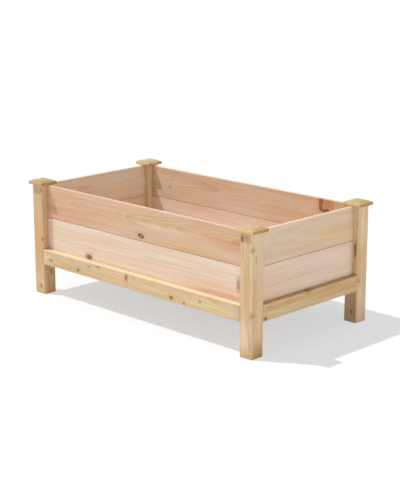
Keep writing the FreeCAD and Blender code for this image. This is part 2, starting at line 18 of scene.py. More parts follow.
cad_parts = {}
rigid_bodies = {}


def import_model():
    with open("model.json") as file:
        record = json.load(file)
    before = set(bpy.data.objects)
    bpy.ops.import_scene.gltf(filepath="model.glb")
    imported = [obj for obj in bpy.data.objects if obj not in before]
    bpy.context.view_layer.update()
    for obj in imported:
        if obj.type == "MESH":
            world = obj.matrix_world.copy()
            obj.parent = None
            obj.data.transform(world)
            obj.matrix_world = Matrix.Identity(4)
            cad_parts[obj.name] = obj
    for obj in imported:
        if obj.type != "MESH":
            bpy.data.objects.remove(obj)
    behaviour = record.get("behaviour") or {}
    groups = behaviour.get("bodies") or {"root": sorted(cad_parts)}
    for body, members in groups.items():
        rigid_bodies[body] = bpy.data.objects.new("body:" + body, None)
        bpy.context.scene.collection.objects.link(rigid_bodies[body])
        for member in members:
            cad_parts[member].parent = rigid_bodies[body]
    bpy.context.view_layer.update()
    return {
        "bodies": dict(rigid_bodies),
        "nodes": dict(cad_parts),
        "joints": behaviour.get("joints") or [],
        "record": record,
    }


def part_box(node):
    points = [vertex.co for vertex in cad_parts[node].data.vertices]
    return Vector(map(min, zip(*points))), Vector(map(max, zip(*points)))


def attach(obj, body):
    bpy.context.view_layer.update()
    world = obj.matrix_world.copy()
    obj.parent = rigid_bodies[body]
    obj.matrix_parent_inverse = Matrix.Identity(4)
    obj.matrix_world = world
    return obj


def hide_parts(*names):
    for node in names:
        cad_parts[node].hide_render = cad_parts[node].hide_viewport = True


Pair = tuple[float, float]
Triple = tuple[float, float, float]
Colour = Triple
Ring = list[Vector]
Socket = bpy.types.NodeSocket
Sockets = Mapping[str, Socket]
Remap = Callable[[Vector, int, int], Vector]

LOG = logging.getLogger("garden_bed")
BODY = "root"
MM = 0.001
# How far the painted shade in a board's joint reaches.
JOINT_SHADE_REACH = 3.0 * MM
# How far up a post's foot is darker.
FOOT_REACH = 70.0 * MM
# How far the paler arrises reach, as wear and painted highlight.
WEAR_AND_HIGHLIGHT_REACH = 5.0 * MM
RING_STEP = 30.0 * MM
ARC_STEPS = 4
WELD_REACH = 0.002 * MM
SLIVER_REACH = 0.001 * MM
HEAD_SINK = 0.2 * MM
WHITE = (1.0, 1.0, 1.0)
QUARTERS = ((1, 0), (0, 1), (-1, 0), (0, -1))


# ---------------------------------------------------------------------------------------------
# Nodes


class NodeCanvas:
    """Adds nodes to one node tree and joins them, so that shading reads as a sum."""

    def __init__(self, tree: bpy.types.NodeTree) -> None:
        """Keeps the node tree to draw in."""
        self.tree = tree

    def add(
        self, kind: str, feeds: Mapping[str | int, object] | None = None, **settings: object
    ) -> bpy.types.Node:
        """Adds one node.

        Args:
            kind: The node's type, such as ShaderNodeMath.
            feeds: What goes into its inputs, by their names or numbers.
            **settings: Properties to set on the node.

        Returns:
            The new node.
        """
        node = self.tree.nodes.new(kind)
        for key, value in settings.items():
            setattr(node, key, value)
        for key, value in (feeds or {}).items():
            self.feed(node.inputs[key], value)
        return node

    def feed(self, socket: Socket, value: object) -> None:
        """Joins an output to an input, or sets the input's own value.

        Args:
            socket: The input.
            value: An output socket, a number, or a tuple of numbers.
        """
        if isinstance(value, bpy.types.NodeSocket):
            self.tree.links.new(value, socket)
        elif socket.type == "RGBA" and len(value) == 3:
            socket.default_value = (*value, 1.0)
        else:
            socket.default_value = value

    def math(self, operation: str, *values: object, clamp: bool = False) -> Socket:
        """Adds a Math node.

        Args:
            operation: The operation's name.
            *values: One, two or three operands, each a socket or a number.
            clamp: Whether the result is held between 0 and 1.

        Returns:
            The result.
        """
        feeds = dict(enumerate(values))
        return self.add("ShaderNodeMath", feeds, operation=operation, use_clamp=clamp).outputs[0]

    def times(self, value: object, factor: object, plus: object = 0.0, clamp: bool = False) -> Socket:
        """A number times a factor, plus a number."""
        return self.math("MULTIPLY_ADD", value, factor, plus, clamp=clamp)

    def vector(self, operation: str, *values: object) -> Socket:
        """Adds a Vector Math node.

        Args:
            operation: The operation's name.
            *values: Operands, each a socket or a tuple of three numbers.

        Returns:
            The result, a number for LENGTH and a vector otherwise.
        """
        node = self.add("ShaderNodeVectorMath", dict(enumerate(values)), operation=operation)
        return node.outputs["Value" if operation == "LENGTH" else "Vector"]

    def split(self, vector: object) -> Sockets:
        """The X, Y and Z of a vector."""
        return self.add("ShaderNodeSeparateXYZ", {0: vector}).outputs

    def ease(self, value: object, low: float, high: float) -> Socket:
        """A smooth step from 0 at low to 1 at high.

        Args:
            value: The number to map.
            low: Where the step starts.
            high: Where it ends, which may lie below low.

        Returns:
            The step.
        """
        feeds = {
            "Value": value,
            "From Min": min(low, high),
            "From Max": max(low, high),
            "To Min": float(high < low),
            "To Max": float(low < high),
        }
        step = self.add("ShaderNodeMapRange", feeds, interpolation_type="SMOOTHSTEP")
        return step.outputs["Result"]

    def noise(
        self, place: object, scale: float = 1.0, detail: float = 2.0, roughness: float = 0.5
    ) -> Socket:
        """Smooth three-dimensional noise.

        Args:
            place: The point.
            scale: Waves per unit of the point.
            detail: How many finer octaves are added.
            roughness: How strong they are.

        Returns:
            The noise value, about 0.5 on average.
        """
        feeds = {"Vector": place, "Scale": scale, "Detail": detail, "Roughness": roughness}
        return self.add("ShaderNodeTexNoise", feeds, noise_dimensions="3D").outputs["Fac"]

    def blend(self, share: object, first: object, second: object, mode: str = "MIX") -> Socket:
        """Mixes two colours.

        Args:
            share: How much of the second colour shows, 0 to 1.
            first: The colour below.
            second: The colour above.
            mode: The blend mode.

        Returns:
            The mixed colour.
        """
        feeds = {0: share, 6: first, 7: second}
        settings = {"data_type": "RGBA", "blend_type": mode, "clamp_factor": True}
        return self.add("ShaderNodeMix", feeds, **settings).outputs[2]

    def tint(self, colour: object, tint: Colour, share: object = 1.0) -> Socket:
        """A colour multiplied by a tint, as far as the share says."""
        return self.blend(share, colour, tint, mode="MULTIPLY")


@dataclass(frozen=True)
class Surface:
    """What a Principled shader is given: a colour, a roughness and a relief."""

    colour: Socket
    roughness: Socket
    relief: Socket
    relief_height: float
    relief_strength: float
    metallic: float = 0.0
    specular: float = 0.5

    def feed(self, made: bpy.types.Material, canvas: NodeCanvas) -> None:
        """Feeds the material's own Principled shader.

        Args:
            made: The material.
            canvas: The canvas of its tree.
        """
        shader = made.node_tree.nodes["Principled BSDF"]
        canvas.feed(shader.inputs["Base Color"], self.colour)
        canvas.feed(shader.inputs["Roughness"], self.roughness)
        shader.inputs["Metallic"].default_value = self.metallic
        shader.inputs["Specular IOR Level"].default_value = self.specular
        feeds = {
            "Strength": self.relief_strength,
            "Distance": self.relief_height,
            "Height": self.relief,
        }
        bump = canvas.add("ShaderNodeBump", feeds)
        canvas.feed(shader.inputs["Normal"], bump.outputs["Normal"])


def new_material(name: str) -> tuple[bpy.types.Material, NodeCanvas]:
    """Makes a material with nodes.

    Args:
        name: The material's name.

    Returns:
        The material and the canvas of its tree.
    """
    made = bpy.data.materials.new(name)
    made.use_nodes = True
    return made, NodeCanvas(made.node_tree)


class SocketKind(Enum):
    """The kinds of socket that a shared group has."""

    VALUE = "NodeSocketFloat"
    VECTOR = "NodeSocketVector"
    COLOUR = "NodeSocketColor"


class SharedGroup:
    """A shader node group that is built once and placed in many materials."""

    title = ""
    inputs: dict[SocketKind, tuple[str, ...]] = {}
    outputs: dict[SocketKind, tuple[str, ...]] = {SocketKind.VALUE: ("Mask",)}

    @classmethod
    def tree(cls) -> bpy.types.NodeTree:
        """Builds the group when it is first asked for.

        Returns:
            The group's tree.
        """
        found = bpy.data.node_groups.get(cls.title)
        if found is not None:
            return found
        made = bpy.data.node_groups.new(cls.title, "ShaderNodeTree")
        for in_out, sockets in (("INPUT", cls.inputs), ("OUTPUT", cls.outputs)):
            for kind, names in sockets.items():
                for name in names:
                    made.interface.new_socket(name=name, in_out=in_out, socket_type=kind.value)
        canvas = NodeCanvas(made)
        given = canvas.add("NodeGroupInput").outputs
        canvas.add("NodeGroupOutput", cls.draw(canvas, given))
        return made

    @classmethod
    def place(cls, canvas: NodeCanvas, **values: object) -> Sockets:
        """Places the group in a material and feeds its inputs.

        Args:
            canvas: The canvas of the material's tree.
            **values: Values or sockets by the inputs' names, with _ for a space.

        Returns:
            The placed group's outputs.
        """
        feeds = {key.replace("_", " "): value for key, value in values.items()}
        return canvas.add("ShaderNodeGroup", feeds, node_tree=cls.tree()).outputs

    @classmethod
    def draw(cls, canvas: NodeCanvas, given: Sockets) -> Sockets:
        """Draws the group's nodes.

        Args:
            canvas: The canvas of the group's tree.
            given: The group's inputs, as outputs of its input node.

        Returns:
            The socket for each output name.
        """
        raise NotImplementedError


@dataclass(frozen=True)
class Streak:
    """Noise drawn out along the grain: its waves per metre, its make-up and its strength."""

    along: float
    across: float
    detail: float = 2.0
    roughness: float = 0.5
    strength: float = 1.0

    def draw(self, canvas: NodeCanvas, place: Socket) -> Socket:
        """The plain noise, about 0.5 on average."""
        stretched = canvas.vector("MULTIPLY", place, (self.along, self.across, self.across))
        return canvas.noise(stretched, 1.0, self.detail, self.roughness)

    def centred(self, canvas: NodeCanvas, place: Socket) -> Socket:
        """The noise at its strength, about 0 on average."""
        return canvas.times(self.draw(canvas, place), self.strength, -self.strength / 2)


class KnotEffect(SharedGroup):
    """Where one knot lies in the wood, and how far it pushes the growth rings aside.

    An edge is two distances from the knot's middle, in knot radii, where a mask is 0 and where
    it is 1.
    """

    title = "knot in wood"
    inputs = {SocketKind.VECTOR: ("Place", "Centre", "Radii"), SocketKind.VALUE: ("Swell",)}
    outputs = {SocketKind.VALUE: ("Core", "Rim", "Halo", "Bend")}
    core_edge = (1.05, 0.8)
    rim_inner_edge = (0.62, 0.92)
    rim_outer_edge = (1.3, 0.98)
    halo_edge = (3.2, 0.8)
    lobe_waves = 60.0
    lobe_depth = 0.9
    splinter_waves = 190.0
    splinter_depth = 0.5
    ring_waves = 14.0
    ring_share = 0.12
    bark_waves = 85.0
    bark_edge = (0.3, 0.5)
    bend_falloff = 0.22

    @classmethod
    def draw(cls, canvas: NodeCanvas, given: Sockets) -> Sockets:
        """Draws the masks from the distance to the knot's middle, in knot radii.

        Args:
            canvas: The canvas of the group's tree.
            given: The group's inputs.

        Returns:
            The core, the bark rim, the stained halo and the rings' bend.
        """
        place = given["Place"]
        offset = canvas.vector("SUBTRACT", place, given["Centre"])
        in_radii = canvas.vector("DIVIDE", offset, given["Radii"])
        middle = -(cls.lobe_depth + cls.splinter_depth) / 2
        splinters = canvas.noise(place, cls.splinter_waves)
        ragged = canvas.times(splinters, cls.splinter_depth, middle)
        ragged = canvas.times(canvas.noise(place, cls.lobe_waves, 1.0), cls.lobe_depth, ragged)
        distance = canvas.math("ADD", canvas.vector("LENGTH", in_radii), ragged)
        rings = canvas.math("SINE", canvas.times(distance, cls.ring_waves))
        ringed = canvas.times(rings, cls.ring_share, 1.0 - cls.ring_share)
        past_core = canvas.ease(distance, *cls.rim_inner_edge)
        rim = canvas.times(past_core, canvas.ease(distance, *cls.rim_outer_edge))
        bark = canvas.ease(canvas.noise(place, cls.bark_waves), *cls.bark_edge)
        squared = canvas.times(distance, distance)
        falloff = canvas.math("EXPONENT", canvas.times(squared, -cls.bend_falloff))
        return {
            "Core": canvas.times(canvas.ease(distance, *cls.core_edge), ringed),
            "Rim": canvas.times(rim, bark),
            "Halo": canvas.ease(distance, *cls.halo_edge),
            "Bend": canvas.times(falloff, given["Swell"]),
        }


class RingFigure(SharedGroup):
    """Growth rings, fibres and colour drift of a stick of wood whose grain runs along X."""

    title = "ring figure"
    inputs = {
        SocketKind.VECTOR: ("Place", "Pith", "Slope"),
        SocketKind.VALUE: (
            "Seed",
            "Bend",
            "Ring Width",
            "Wobble",
            "Ring Strength",
            "Streak Strength",
            "Hue Strength",
            "Drift Strength",
        ),
        SocketKind.COLOUR: ("Early", "Late", "Drift Tint"),
    }
    outputs = {SocketKind.COLOUR: ("Colour",), SocketKind.VALUE: ("Latewood", "Fibre")}
    seed_step = (3.7, 1.3, 2.1)
    wander = Streak(1.6, 5.0)
    ripple = Streak(14.0, 60.0, strength=1.6 * MM)
    weather_waves = 0.37
    weather_shift = 1.6
    late_rise = (0.3, 0.92)
    late_drop = (1.0, 0.94)
    vigour_range = 0.75
    vigour_least = 0.35
    fading = Streak(3.0, 22.0, strength=1.8)
    fading_least = -0.1
    drift = Streak(1.1, 9.0, 3.0, 0.55)
    drift_edge = (0.42, 0.66)
    fibres = (
        Streak(26.0, 1500.0, 2.0, 0.6, 0.6),
        Streak(9.0, 420.0, 2.0, 0.6, 0.7),
        Streak(2.6, 70.0, 3.0, 0.6, 2.4),
    )
    fibre_hue = (0.75, 1.0, 1.3)
    warmth = Streak(1.9, 19.0, 3.0, 0.6, 2.0)
    warmth_hue = (0.1, 0.4, 0.8)

    @classmethod
    def draw(cls, canvas: NodeCanvas, given: Sockets) -> Sockets:
        """Draws rings about a sloping, wandering pith, and fibres along the grain.

        Args:
            canvas: The canvas of the group's tree.
            given: The group's inputs.

        Returns:
            The wood's colour, the latewood mask and the fibre value.
        """
        seed_offset = canvas.vector("MULTIPLY", given["Seed"], cls.seed_step)
        place = canvas.vector("ADD", given["Place"], seed_offset)
        wander = cls.wander.draw(canvas, place).node.outputs["Color"]
        centred = canvas.vector("SUBTRACT", wander, (0.5, 0.5, 0.5))
        wobble = canvas.vector("MULTIPLY", centred, given["Wobble"])
        lean = canvas.vector("MULTIPLY", given["Slope"], canvas.split(given["Place"])["X"])
        pith = canvas.vector("ADD", given["Pith"], lean)
        from_pith = canvas.vector("ADD", canvas.vector("SUBTRACT", given["Place"], pith), wobble)
        across_grain = canvas.vector("MULTIPLY", from_pith, (0.0, 1.0, 1.0))
        radius = canvas.math("ADD", canvas.vector("LENGTH", across_grain), given["Bend"])
        radius = canvas.math("ADD", radius, cls.ripple.centred(canvas, place))
        turns = canvas.math("DIVIDE", radius, given["Ring Width"])
        weather = canvas.add(
            "ShaderNodeTexNoise",
            {"W": canvas.times(turns, cls.weather_waves), "Scale": 1.0, "Detail": 1.0},
            noise_dimensions="1D",
        )
        turns = canvas.times(weather.outputs["Fac"], cls.weather_shift, turns)
        season = canvas.math("FRACT", turns)
        late = canvas.ease(season, *cls.late_rise)
        late = canvas.times(late, canvas.ease(season, *cls.late_drop))
        year = {"W": canvas.math("FLOOR", turns)}
        chance = canvas.add("ShaderNodeTexWhiteNoise", year, noise_dimensions="1D")
        vigour = canvas.times(chance.outputs["Value"], cls.vigour_range, cls.vigour_least)
        fading = cls.fading.draw(canvas, place)
        faded = canvas.times(fading, cls.fading.strength, cls.fading_least)
        late = canvas.times(canvas.times(late, vigour), faded, clamp=True)

        ring_share = canvas.times(late, given["Ring Strength"], clamp=True)
        ringed = canvas.blend(ring_share, given["Early"], given["Late"])
        drift = canvas.ease(cls.drift.draw(canvas, place), *cls.drift_edge)
        drift_share = canvas.times(drift, given["Drift Strength"])
        tinted = canvas.blend(drift_share, ringed, given["Drift Tint"])
        fibre = 0.0
        for layer in cls.fibres:
            fibre = canvas.math("ADD", fibre, layer.centred(canvas, place))
        lines = canvas.times(fibre, given["Streak Strength"])
        shade = canvas.vector("MULTIPLY_ADD", lines, cls.fibre_hue, WHITE)
        warmth = canvas.times(cls.warmth.centred(canvas, place), given["Hue Strength"])
        shade = canvas.vector("MULTIPLY_ADD", warmth, cls.warmth_hue, shade)
        colour = canvas.vector("MULTIPLY", tinted, shade)
        return {"Colour": colour, "Latewood": late, "Fibre": fibre}


class ArrisWearAndHighlight(SharedGroup):
    """Where the long arrises and corners of a squared stick are worn paler by handling, with a painted
    highlight in the same mask.
    """

    title = "arris wear and highlight"
    inputs = {SocketKind.VECTOR: ("Place", "Half Size"), SocketKind.VALUE: ("Reach",)}
    patch_waves = 35.0
    least_reach = 0.5

    @classmethod
    def draw(cls, canvas: NodeCanvas, given: Sockets) -> Sockets:
        """Draws the mask where the place is near two faces at once.

        Args:
            canvas: The canvas of the group's tree.
            given: The group's inputs.

        Returns:
            The mask of wear and painted highlight.
        """
        outwards = canvas.vector("ABSOLUTE", given["Place"])
        depths = canvas.split(canvas.vector("SUBTRACT", given["Half Size"], outwards))
        patchy = canvas.math("ADD", canvas.noise(given["Place"], cls.patch_waves), cls.least_reach)
        reach = canvas.times(given["Reach"], patchy)
        near_x, near_y, near_z = (
            canvas.math("SUBTRACT", 1.0, canvas.math("DIVIDE", depths[axis], reach), clamp=True)
            for axis in "XYZ"
        )
        long_arris = canvas.times(near_y, near_z)
        end_arris = canvas.times(near_x, canvas.math("MAXIMUM", near_y, near_z))
        return {"Mask": canvas.math("MAXIMUM", long_arris, end_arris, clamp=True)}


class EdgeShade(SharedGroup):
    """Painted shade where a board's face turns into a joint, and a post darker towards its foot."""

    title = "edge shade"
    inputs = {
        SocketKind.VECTOR: ("Place",),
        SocketKind.VALUE: ("Distance", "Reach", "Raggedness"),
    }
    edge_waves = 28.0

    @classmethod
    def draw(cls, canvas: NodeCanvas, given: Sockets) -> Sockets:
        """Draws the mask from the distance to the edge, made uneven by noise.

        Args:
            canvas: The canvas of the group's tree.
            given: The group's inputs.

        Returns:
            The mask, 1 at the edge and 0 past the reach.
        """
        wave = canvas.times(canvas.noise(given["Place"], cls.edge_waves, 3.0), 2.0, -1.0)
        reach = canvas.times(given["Reach"], canvas.times(wave, given["Raggedness"], 1.0))
        near = canvas.math("SUBTRACT", 1.0, canvas.math("DIVIDE", given["Distance"], reach))
        held = canvas.math("MAXIMUM", near, 0.0)
        return {"Mask": canvas.times(held, canvas.math("MINIMUM", held, 1.0), clamp=True)}


class TintedPatch(SharedGroup):
    """A long tinted patch that fades out along the grain: wood such as sapwood or resin, and in a few
    places painted shade or painted light.
    """

    title = "tinted patch"
    inputs = {SocketKind.VECTOR: ("Place", "Centre", "Radii")}
    ragged = Streak(4.0, 45.0, 3.0, 0.6, 1.6)
    edge = (1.25, 0.35)

    @classmethod
    def draw(cls, canvas: NodeCanvas, given: Sockets) -> Sockets:
        """Draws the mask from the distance to the patch's middle, made ragged by streaks.

        Args:
            canvas: The canvas of the group's tree.
            given: The group's inputs.

        Returns:
            The mask, 1 in the patch's middle.
        """
        offset = canvas.vector("SUBTRACT", given["Place"], given["Centre"])
        distance = canvas.vector("LENGTH", canvas.vector("DIVIDE", offset, given["Radii"]))
        distance = canvas.math("ADD", distance, cls.ragged.centred(canvas, given["Place"]))
        return {"Mask": canvas.ease(distance, *cls.edge)}


class UpwardPaintedLight(SharedGroup):
    """Painted light on the faces that look up, in cloudy patches like weathering."""

    title = "upward painted light"
    inputs = {SocketKind.VECTOR: ("Place",), SocketKind.VALUE: ("Up",)}
    cloud_waves = 45.0
    cloud_contrast = 2.4
    cloud_loss = 0.35
    upward_edge = (0.3, 0.85)

    @classmethod
    def draw(cls, canvas: NodeCanvas, given: Sockets) -> Sockets:
        """Draws a cloudy mask on the upward faces.

        Args:
            canvas: The canvas of the group's tree.
            given: The group's inputs.

        Returns:
            The mask, 0 to 1.
        """
        cloudy = canvas.noise(given["Place"], cls.cloud_waves, 3.0, 0.6)
        painted_light_patches = canvas.times(cloudy, cls.cloud_contrast, -cls.cloud_loss, clamp=True)
        return {"Mask": canvas.times(canvas.ease(given["Up"], *cls.upward_edge), painted_light_patches)}


class EndGrain(SharedGroup):
    """Open pores and fine drying checks where the fibres are cut across."""

    title = "end grain"
    inputs = {SocketKind.VECTOR: ("Place", "Facing")}
    outputs = {SocketKind.VALUE: ("Mask", "Checks")}
    end_on_edge = (0.75, 0.95)
    cell_stretch = (1.0, 1.0, 0.35)
    cell_waves = 90.0
    check_edge = (0.05, 0.0)

    @classmethod
    def draw(cls, canvas: NodeCanvas, given: Sockets) -> Sockets:
        """Draws the mask of the faces across the grain and their checks.

        Args:
            canvas: The canvas of the group's tree.
            given: The group's inputs.

        Returns:
            The end-grain mask and the checks, both 0 to 1.
        """
        along = canvas.math("ABSOLUTE", canvas.split(given["Facing"])["X"])
        mask = canvas.ease(along, *cls.end_on_edge)
        stretched = canvas.vector("MULTIPLY", given["Place"], cls.cell_stretch)
        feeds = {"Vector": stretched, "Scale": cls.cell_waves}
        cells = canvas.add("ShaderNodeTexVoronoi", feeds, feature="DISTANCE_TO_EDGE")
        checks = canvas.ease(cells.outputs["Distance"], *cls.check_edge)
        return {"Mask": mask, "Checks": canvas.times(checks, mask)}


# ---------------------------------------------------------------------------------------------
# Finishes


@dataclass(frozen=True)
class Knot:
    """A knot in the stick's own coordinates: its middle, its radii and how strongly it shows."""

    centre: Triple
    radii: Triple
    core: float = 0.75
    rim: float = 0.5
    redness: float = 0.5
    swell: float = 6.0 * MM


@dataclass(frozen=True)
class Patch:
    """A tinted patch in the stick's own coordinates: its middle, its radii and its tint."""

    centre: Triple
    radii: Triple
    tint: Colour


class UpAxis(Enum):
    """Which of a stick's own axes looks up."""

    WIDTH = "Y"
    THICKNESS = "Z"


@dataclass(frozen=True)
class WoodFinish:
    """Planed, unfinished wood: its colours, how its rings lie, and its knots."""

    early: Colour
    late: Colour
    drift: Colour
    ring_width: float = 4.5 * MM
    ring_strength: float = 0.6
    streak_strength: float = 0.16
    hue_strength: float = 0.8
    drift_strength: float = 0.5
    pith: Triple = (0.0, 0.02, -0.08)
    slope: Triple = (0.0, 0.01, 0.02)
    wobble: float = 0.02
    seed: float = 1.0
    knots: tuple[Knot, ...] = ()
    knot_core: Colour = (0.16, 0.055, 0.02)
    knot_rim: Colour = (0.05, 0.018, 0.008)
    knot_halo: Colour = (0.5, 0.2, 0.1)
    patches: tuple[Patch, ...] = ()
    tone: Colour = WHITE
    # Painted shade along a board's joint edges, and a post darker towards its foot, both in the tint
    # below.
    joint_shade_low: float = 0.0
    joint_shade_high: float = 0.0
    foot_darkening: float = 0.0
    joint_shade_and_foot_tint: Colour = (0.62, 0.42, 0.26)
    # Painted light on the upward faces: a tint below 1 paints shade, a tint above 1 a highlight.
    upward_painted_light: float = 0.0
    sky_tint: Colour = (0.7, 0.69, 0.58)
    up_axis: UpAxis = UpAxis.THICKNESS
    # Paler arrises: wear by handling and a painted highlight.
    wear_and_highlight_tint: Colour = (1.0, 0.93, 0.82)
    end_tint: Colour = (0.72, 0.62, 0.52)
    halo_share: float = 0.55
    core_share: float = 0.9
    # How much the arrises are paled, by wear and painted highlight.
    wear_and_highlight_share: float = 0.35
    check_share: float = 0.6
    roughness: float = 0.62
    fibre_roughness: float = 0.1
    core_roughness: float = -0.18
    end_roughness: float = 0.15
    grain_height: float = 0.12 * MM
    ring_relief: float = 0.6
    rim_relief: float = -1.5
    check_relief: float = -2.0
    relief_strength: float = 0.6
    specular: float = 0.3

    def material(self, name: str, half_size: Vector) -> bpy.types.Material:
        """Builds the material of one stick.

        Args:
            name: The material's name.
            half_size: Half of the stick's length, width and thickness.

        Returns:
            The material, for a mesh whose grain runs along its own X.
        """
        made, canvas = new_material(name)
        sight = canvas.add("ShaderNodeTexCoord").outputs
        place, facing = sight["Object"], sight["Normal"]
        core, rim, halo, bend = self._knot_masks(canvas, place)
        figure = self._figure(canvas, place, bend)
        ends = EndGrain.place(canvas, Place=place, Facing=facing)
        colour = figure["Colour"]
        for patch in self.patches:
            shape = {"Centre": patch.centre, "Radii": patch.radii}
            mask = TintedPatch.place(canvas, Place=place, **shape)["Mask"]
            colour = canvas.tint(colour, patch.tint, mask)
        colour = canvas.blend(canvas.times(halo, self.halo_share), colour, self.knot_halo)
        colour = canvas.blend(canvas.times(core, self.core_share), colour, self.knot_core)
        colour = canvas.blend(rim, colour, self.knot_rim)
        colour = self._edge_shades(canvas, place, half_size, colour)
        # Painted shade or highlight on the upward faces, as the tint says.
        if self.upward_painted_light > 0.0:
            up = canvas.split(facing)[self.up_axis.value]
            painted_light_patches = UpwardPaintedLight.place(canvas, Place=place, Up=up)["Mask"]
            colour = canvas.tint(colour, self.sky_tint, canvas.times(painted_light_patches, self.upward_painted_light))
        colour = canvas.tint(colour, self.tone)
        colour = canvas.tint(colour, self.end_tint, ends["Mask"])
        checks = canvas.times(ends["Checks"], self.check_share)
        colour = canvas.blend(checks, colour, self.knot_core)
        rough = canvas.times(figure["Fibre"], self.fibre_roughness, self.roughness)
        rough = canvas.times(core, self.core_roughness, rough)
        rough = canvas.times(ends["Mask"], self.end_roughness, rough, clamp=True)
        relief = canvas.times(figure["Latewood"], self.ring_relief, figure["Fibre"])
        relief = canvas.times(rim, self.rim_relief, relief)
        relief = canvas.times(ends["Checks"], self.check_relief, relief)
        planed = Surface(
            colour,
            rough,
            relief,
            self.grain_height,
            self.relief_strength,
            specular=self.specular,
        )
        planed.feed(made, canvas)
        return made

    def _figure(self, canvas: NodeCanvas, place: Socket, bend: object) -> Sockets:
        """Places the growth rings and fibres.

        Args:
            canvas: The canvas of the material's tree.
            place: The point in the stick's coordinates.
            bend: How far the knots push the rings aside.

        Returns:
            The figure's outputs.
        """
        return RingFigure.place(
            canvas,
            Place=place,
            Seed=self.seed,
            Bend=bend,
            Pith=self.pith,
            Slope=self.slope,
            Ring_Width=self.ring_width,
            Wobble=self.wobble,
            Ring_Strength=self.ring_strength,
            Streak_Strength=self.streak_strength,
            Hue_Strength=self.hue_strength,
            Drift_Strength=self.drift_strength,
            Early=self.early,
            Late=self.late,
            Drift_Tint=self.drift,
        )

    def _edge_shades(
        self, canvas: NodeCanvas, place: Socket, half_size: Vector, colour: Socket
    ) -> Socket:
        """Makes the arrises paler as wear and a painted highlight, paints shade into the joints, and
        darkens a post's foot.

        Args:
            canvas: The canvas of the material's tree.
            place: The point in the stick's coordinates.
            half_size: Half of the stick's length, width and thickness.
            colour: The colour so far.

        Returns:
            The shaded colour.
        """
        # Paler arrises: wear, and a painted highlight along them.
        wear_and_highlight = ArrisWearAndHighlight.place(
            canvas, Place=place, Half_Size=tuple(half_size), Reach=WEAR_AND_HIGHLIGHT_REACH
        )["Mask"]
        paler = canvas.blend(self.wear_and_highlight_share, self.early, self.wear_and_highlight_tint)
        colour = canvas.blend(canvas.times(wear_and_highlight, self.wear_and_highlight_share), colour, paler)
        parts = canvas.split(place)
        # Painted shade along the joint edges; a post's foot darker towards its end.
        shades = (
            (self.joint_shade_low, "Y", 1.0, half_size.y, JOINT_SHADE_REACH, 0.2),
            (self.joint_shade_high, "Y", -1.0, half_size.y, JOINT_SHADE_REACH, 0.2),
            (self.foot_darkening, "X", 1.0, half_size.x, FOOT_REACH, 0.5),
        )
        for strength, axis, sign, half, reach, ragged in shades:
            if strength > 0.0:
                distance = canvas.times(parts[axis], sign, half)
                edge = {"Distance": distance, "Reach": reach, "Raggedness": ragged}
                mask = EdgeShade.place(canvas, Place=place, **edge)["Mask"]
                colour = canvas.tint(colour, self.joint_shade_and_foot_tint, canvas.times(mask, strength))
        return colour

    def _knot_masks(self, canvas: NodeCanvas, place: Socket) -> list[object]:
        """Adds up the masks of all knots.

        Args:
            canvas: The canvas of the material's tree.
            place: The point in the stick's coordinates.

        Returns:
            The core, rim and halo masks and the rings' bend.
        """
        totals: list[object] = [0.0, 0.0, 0.0, 0.0]
        for knot in self.knots:
            shape = {"Centre": knot.centre, "Radii": knot.radii, "Swell": knot.swell}
            one = KnotEffect.place(canvas, Place=place, **shape)
            shares = (("Core", knot.core), ("Rim", knot.rim), ("Halo", knot.redness))
            for i, (name, share) in enumerate(shares):
                totals[i] = canvas.math("MAXIMUM", totals[i], canvas.times(one[name], share))
            totals[-1] = canvas.math("ADD", totals[-1], one["Bend"])
        return totals


@dataclass(frozen=True)
class ZincFinish:
    """Zinc-plated steel with a passivated yellow cast, brushed round by the driver."""

    colour: Colour = (0.62, 0.55, 0.4)
    tarnish: Colour = (0.34, 0.28, 0.2)
    relief_height: float = 0.02 * MM

    def material(self, name: str) -> bpy.types.Material:
        """Builds the screws' material.

        Args:
            name: The material's name.

        Returns:
            The material.
        """
        made, canvas = new_material(name)
        place = canvas.add("ShaderNodeTexCoord").outputs["Object"]
        cloudy = canvas.noise(place, 260.0, 3.0, 0.6)
        speckle = canvas.noise(place, 1900.0)
        colour = canvas.blend(canvas.ease(cloudy, 0.42, 0.7), self.colour, self.tarnish)
        rough = canvas.times(speckle, 0.3, 0.22)
        Surface(colour, rough, speckle, self.relief_height, 0.3, metallic=1.0).feed(made, canvas)
        return made


# ---------------------------------------------------------------------------------------------
# Meshes


class Spot(Enum):
    """A named place of the bed."""

    @property
    def word(self) -> str:
        """The place's name as the pieces write it."""
        return self.name.lower()


class Side(Spot):
    """A side of the bed: the direction along it, seen from outside, and its outward normal."""

    FRONT = ((1.0, 0.0), (0.0, -1.0))
    RIGHT = ((0.0, 1.0), (1.0, 0.0))
    REAR = ((-1.0, 0.0), (0.0, 1.0))
    LEFT = ((0.0, -1.0), (-1.0, 0.0))

    def axes(self) -> Matrix:
        """The turn from a side piece's own axes, along, up and outward, to the frame's."""
        (ax, ay), (nx, ny) = self.value
        return Matrix(((ax, 0.0, nx), (ay, 0.0, ny), (0.0, 1.0, 0.0)))


class Tier(Spot):
    """Which of a side's two boards."""

    LOWER = 0
    UPPER = 1


class Corner(Spot):
    """A corner of the bed, as the signs of X and Y."""

    FRONT_LEFT = (-1, -1)
    FRONT_RIGHT = (1, -1)
    REAR_RIGHT = (1, 1)
    REAR_LEFT = (-1, 1)


def drift_at(place: float, seed: float, waves: float) -> float:
    """Smooth noise of one place along a stick.

    Args:
        place: The place in metres.
        seed: Which noise to take.
        waves: Its waves per metre.

    Returns:
        A number from about -1 to 1.
    """
    return noise.noise(Vector((place * waves, seed * 7.31, seed * 1.7)))


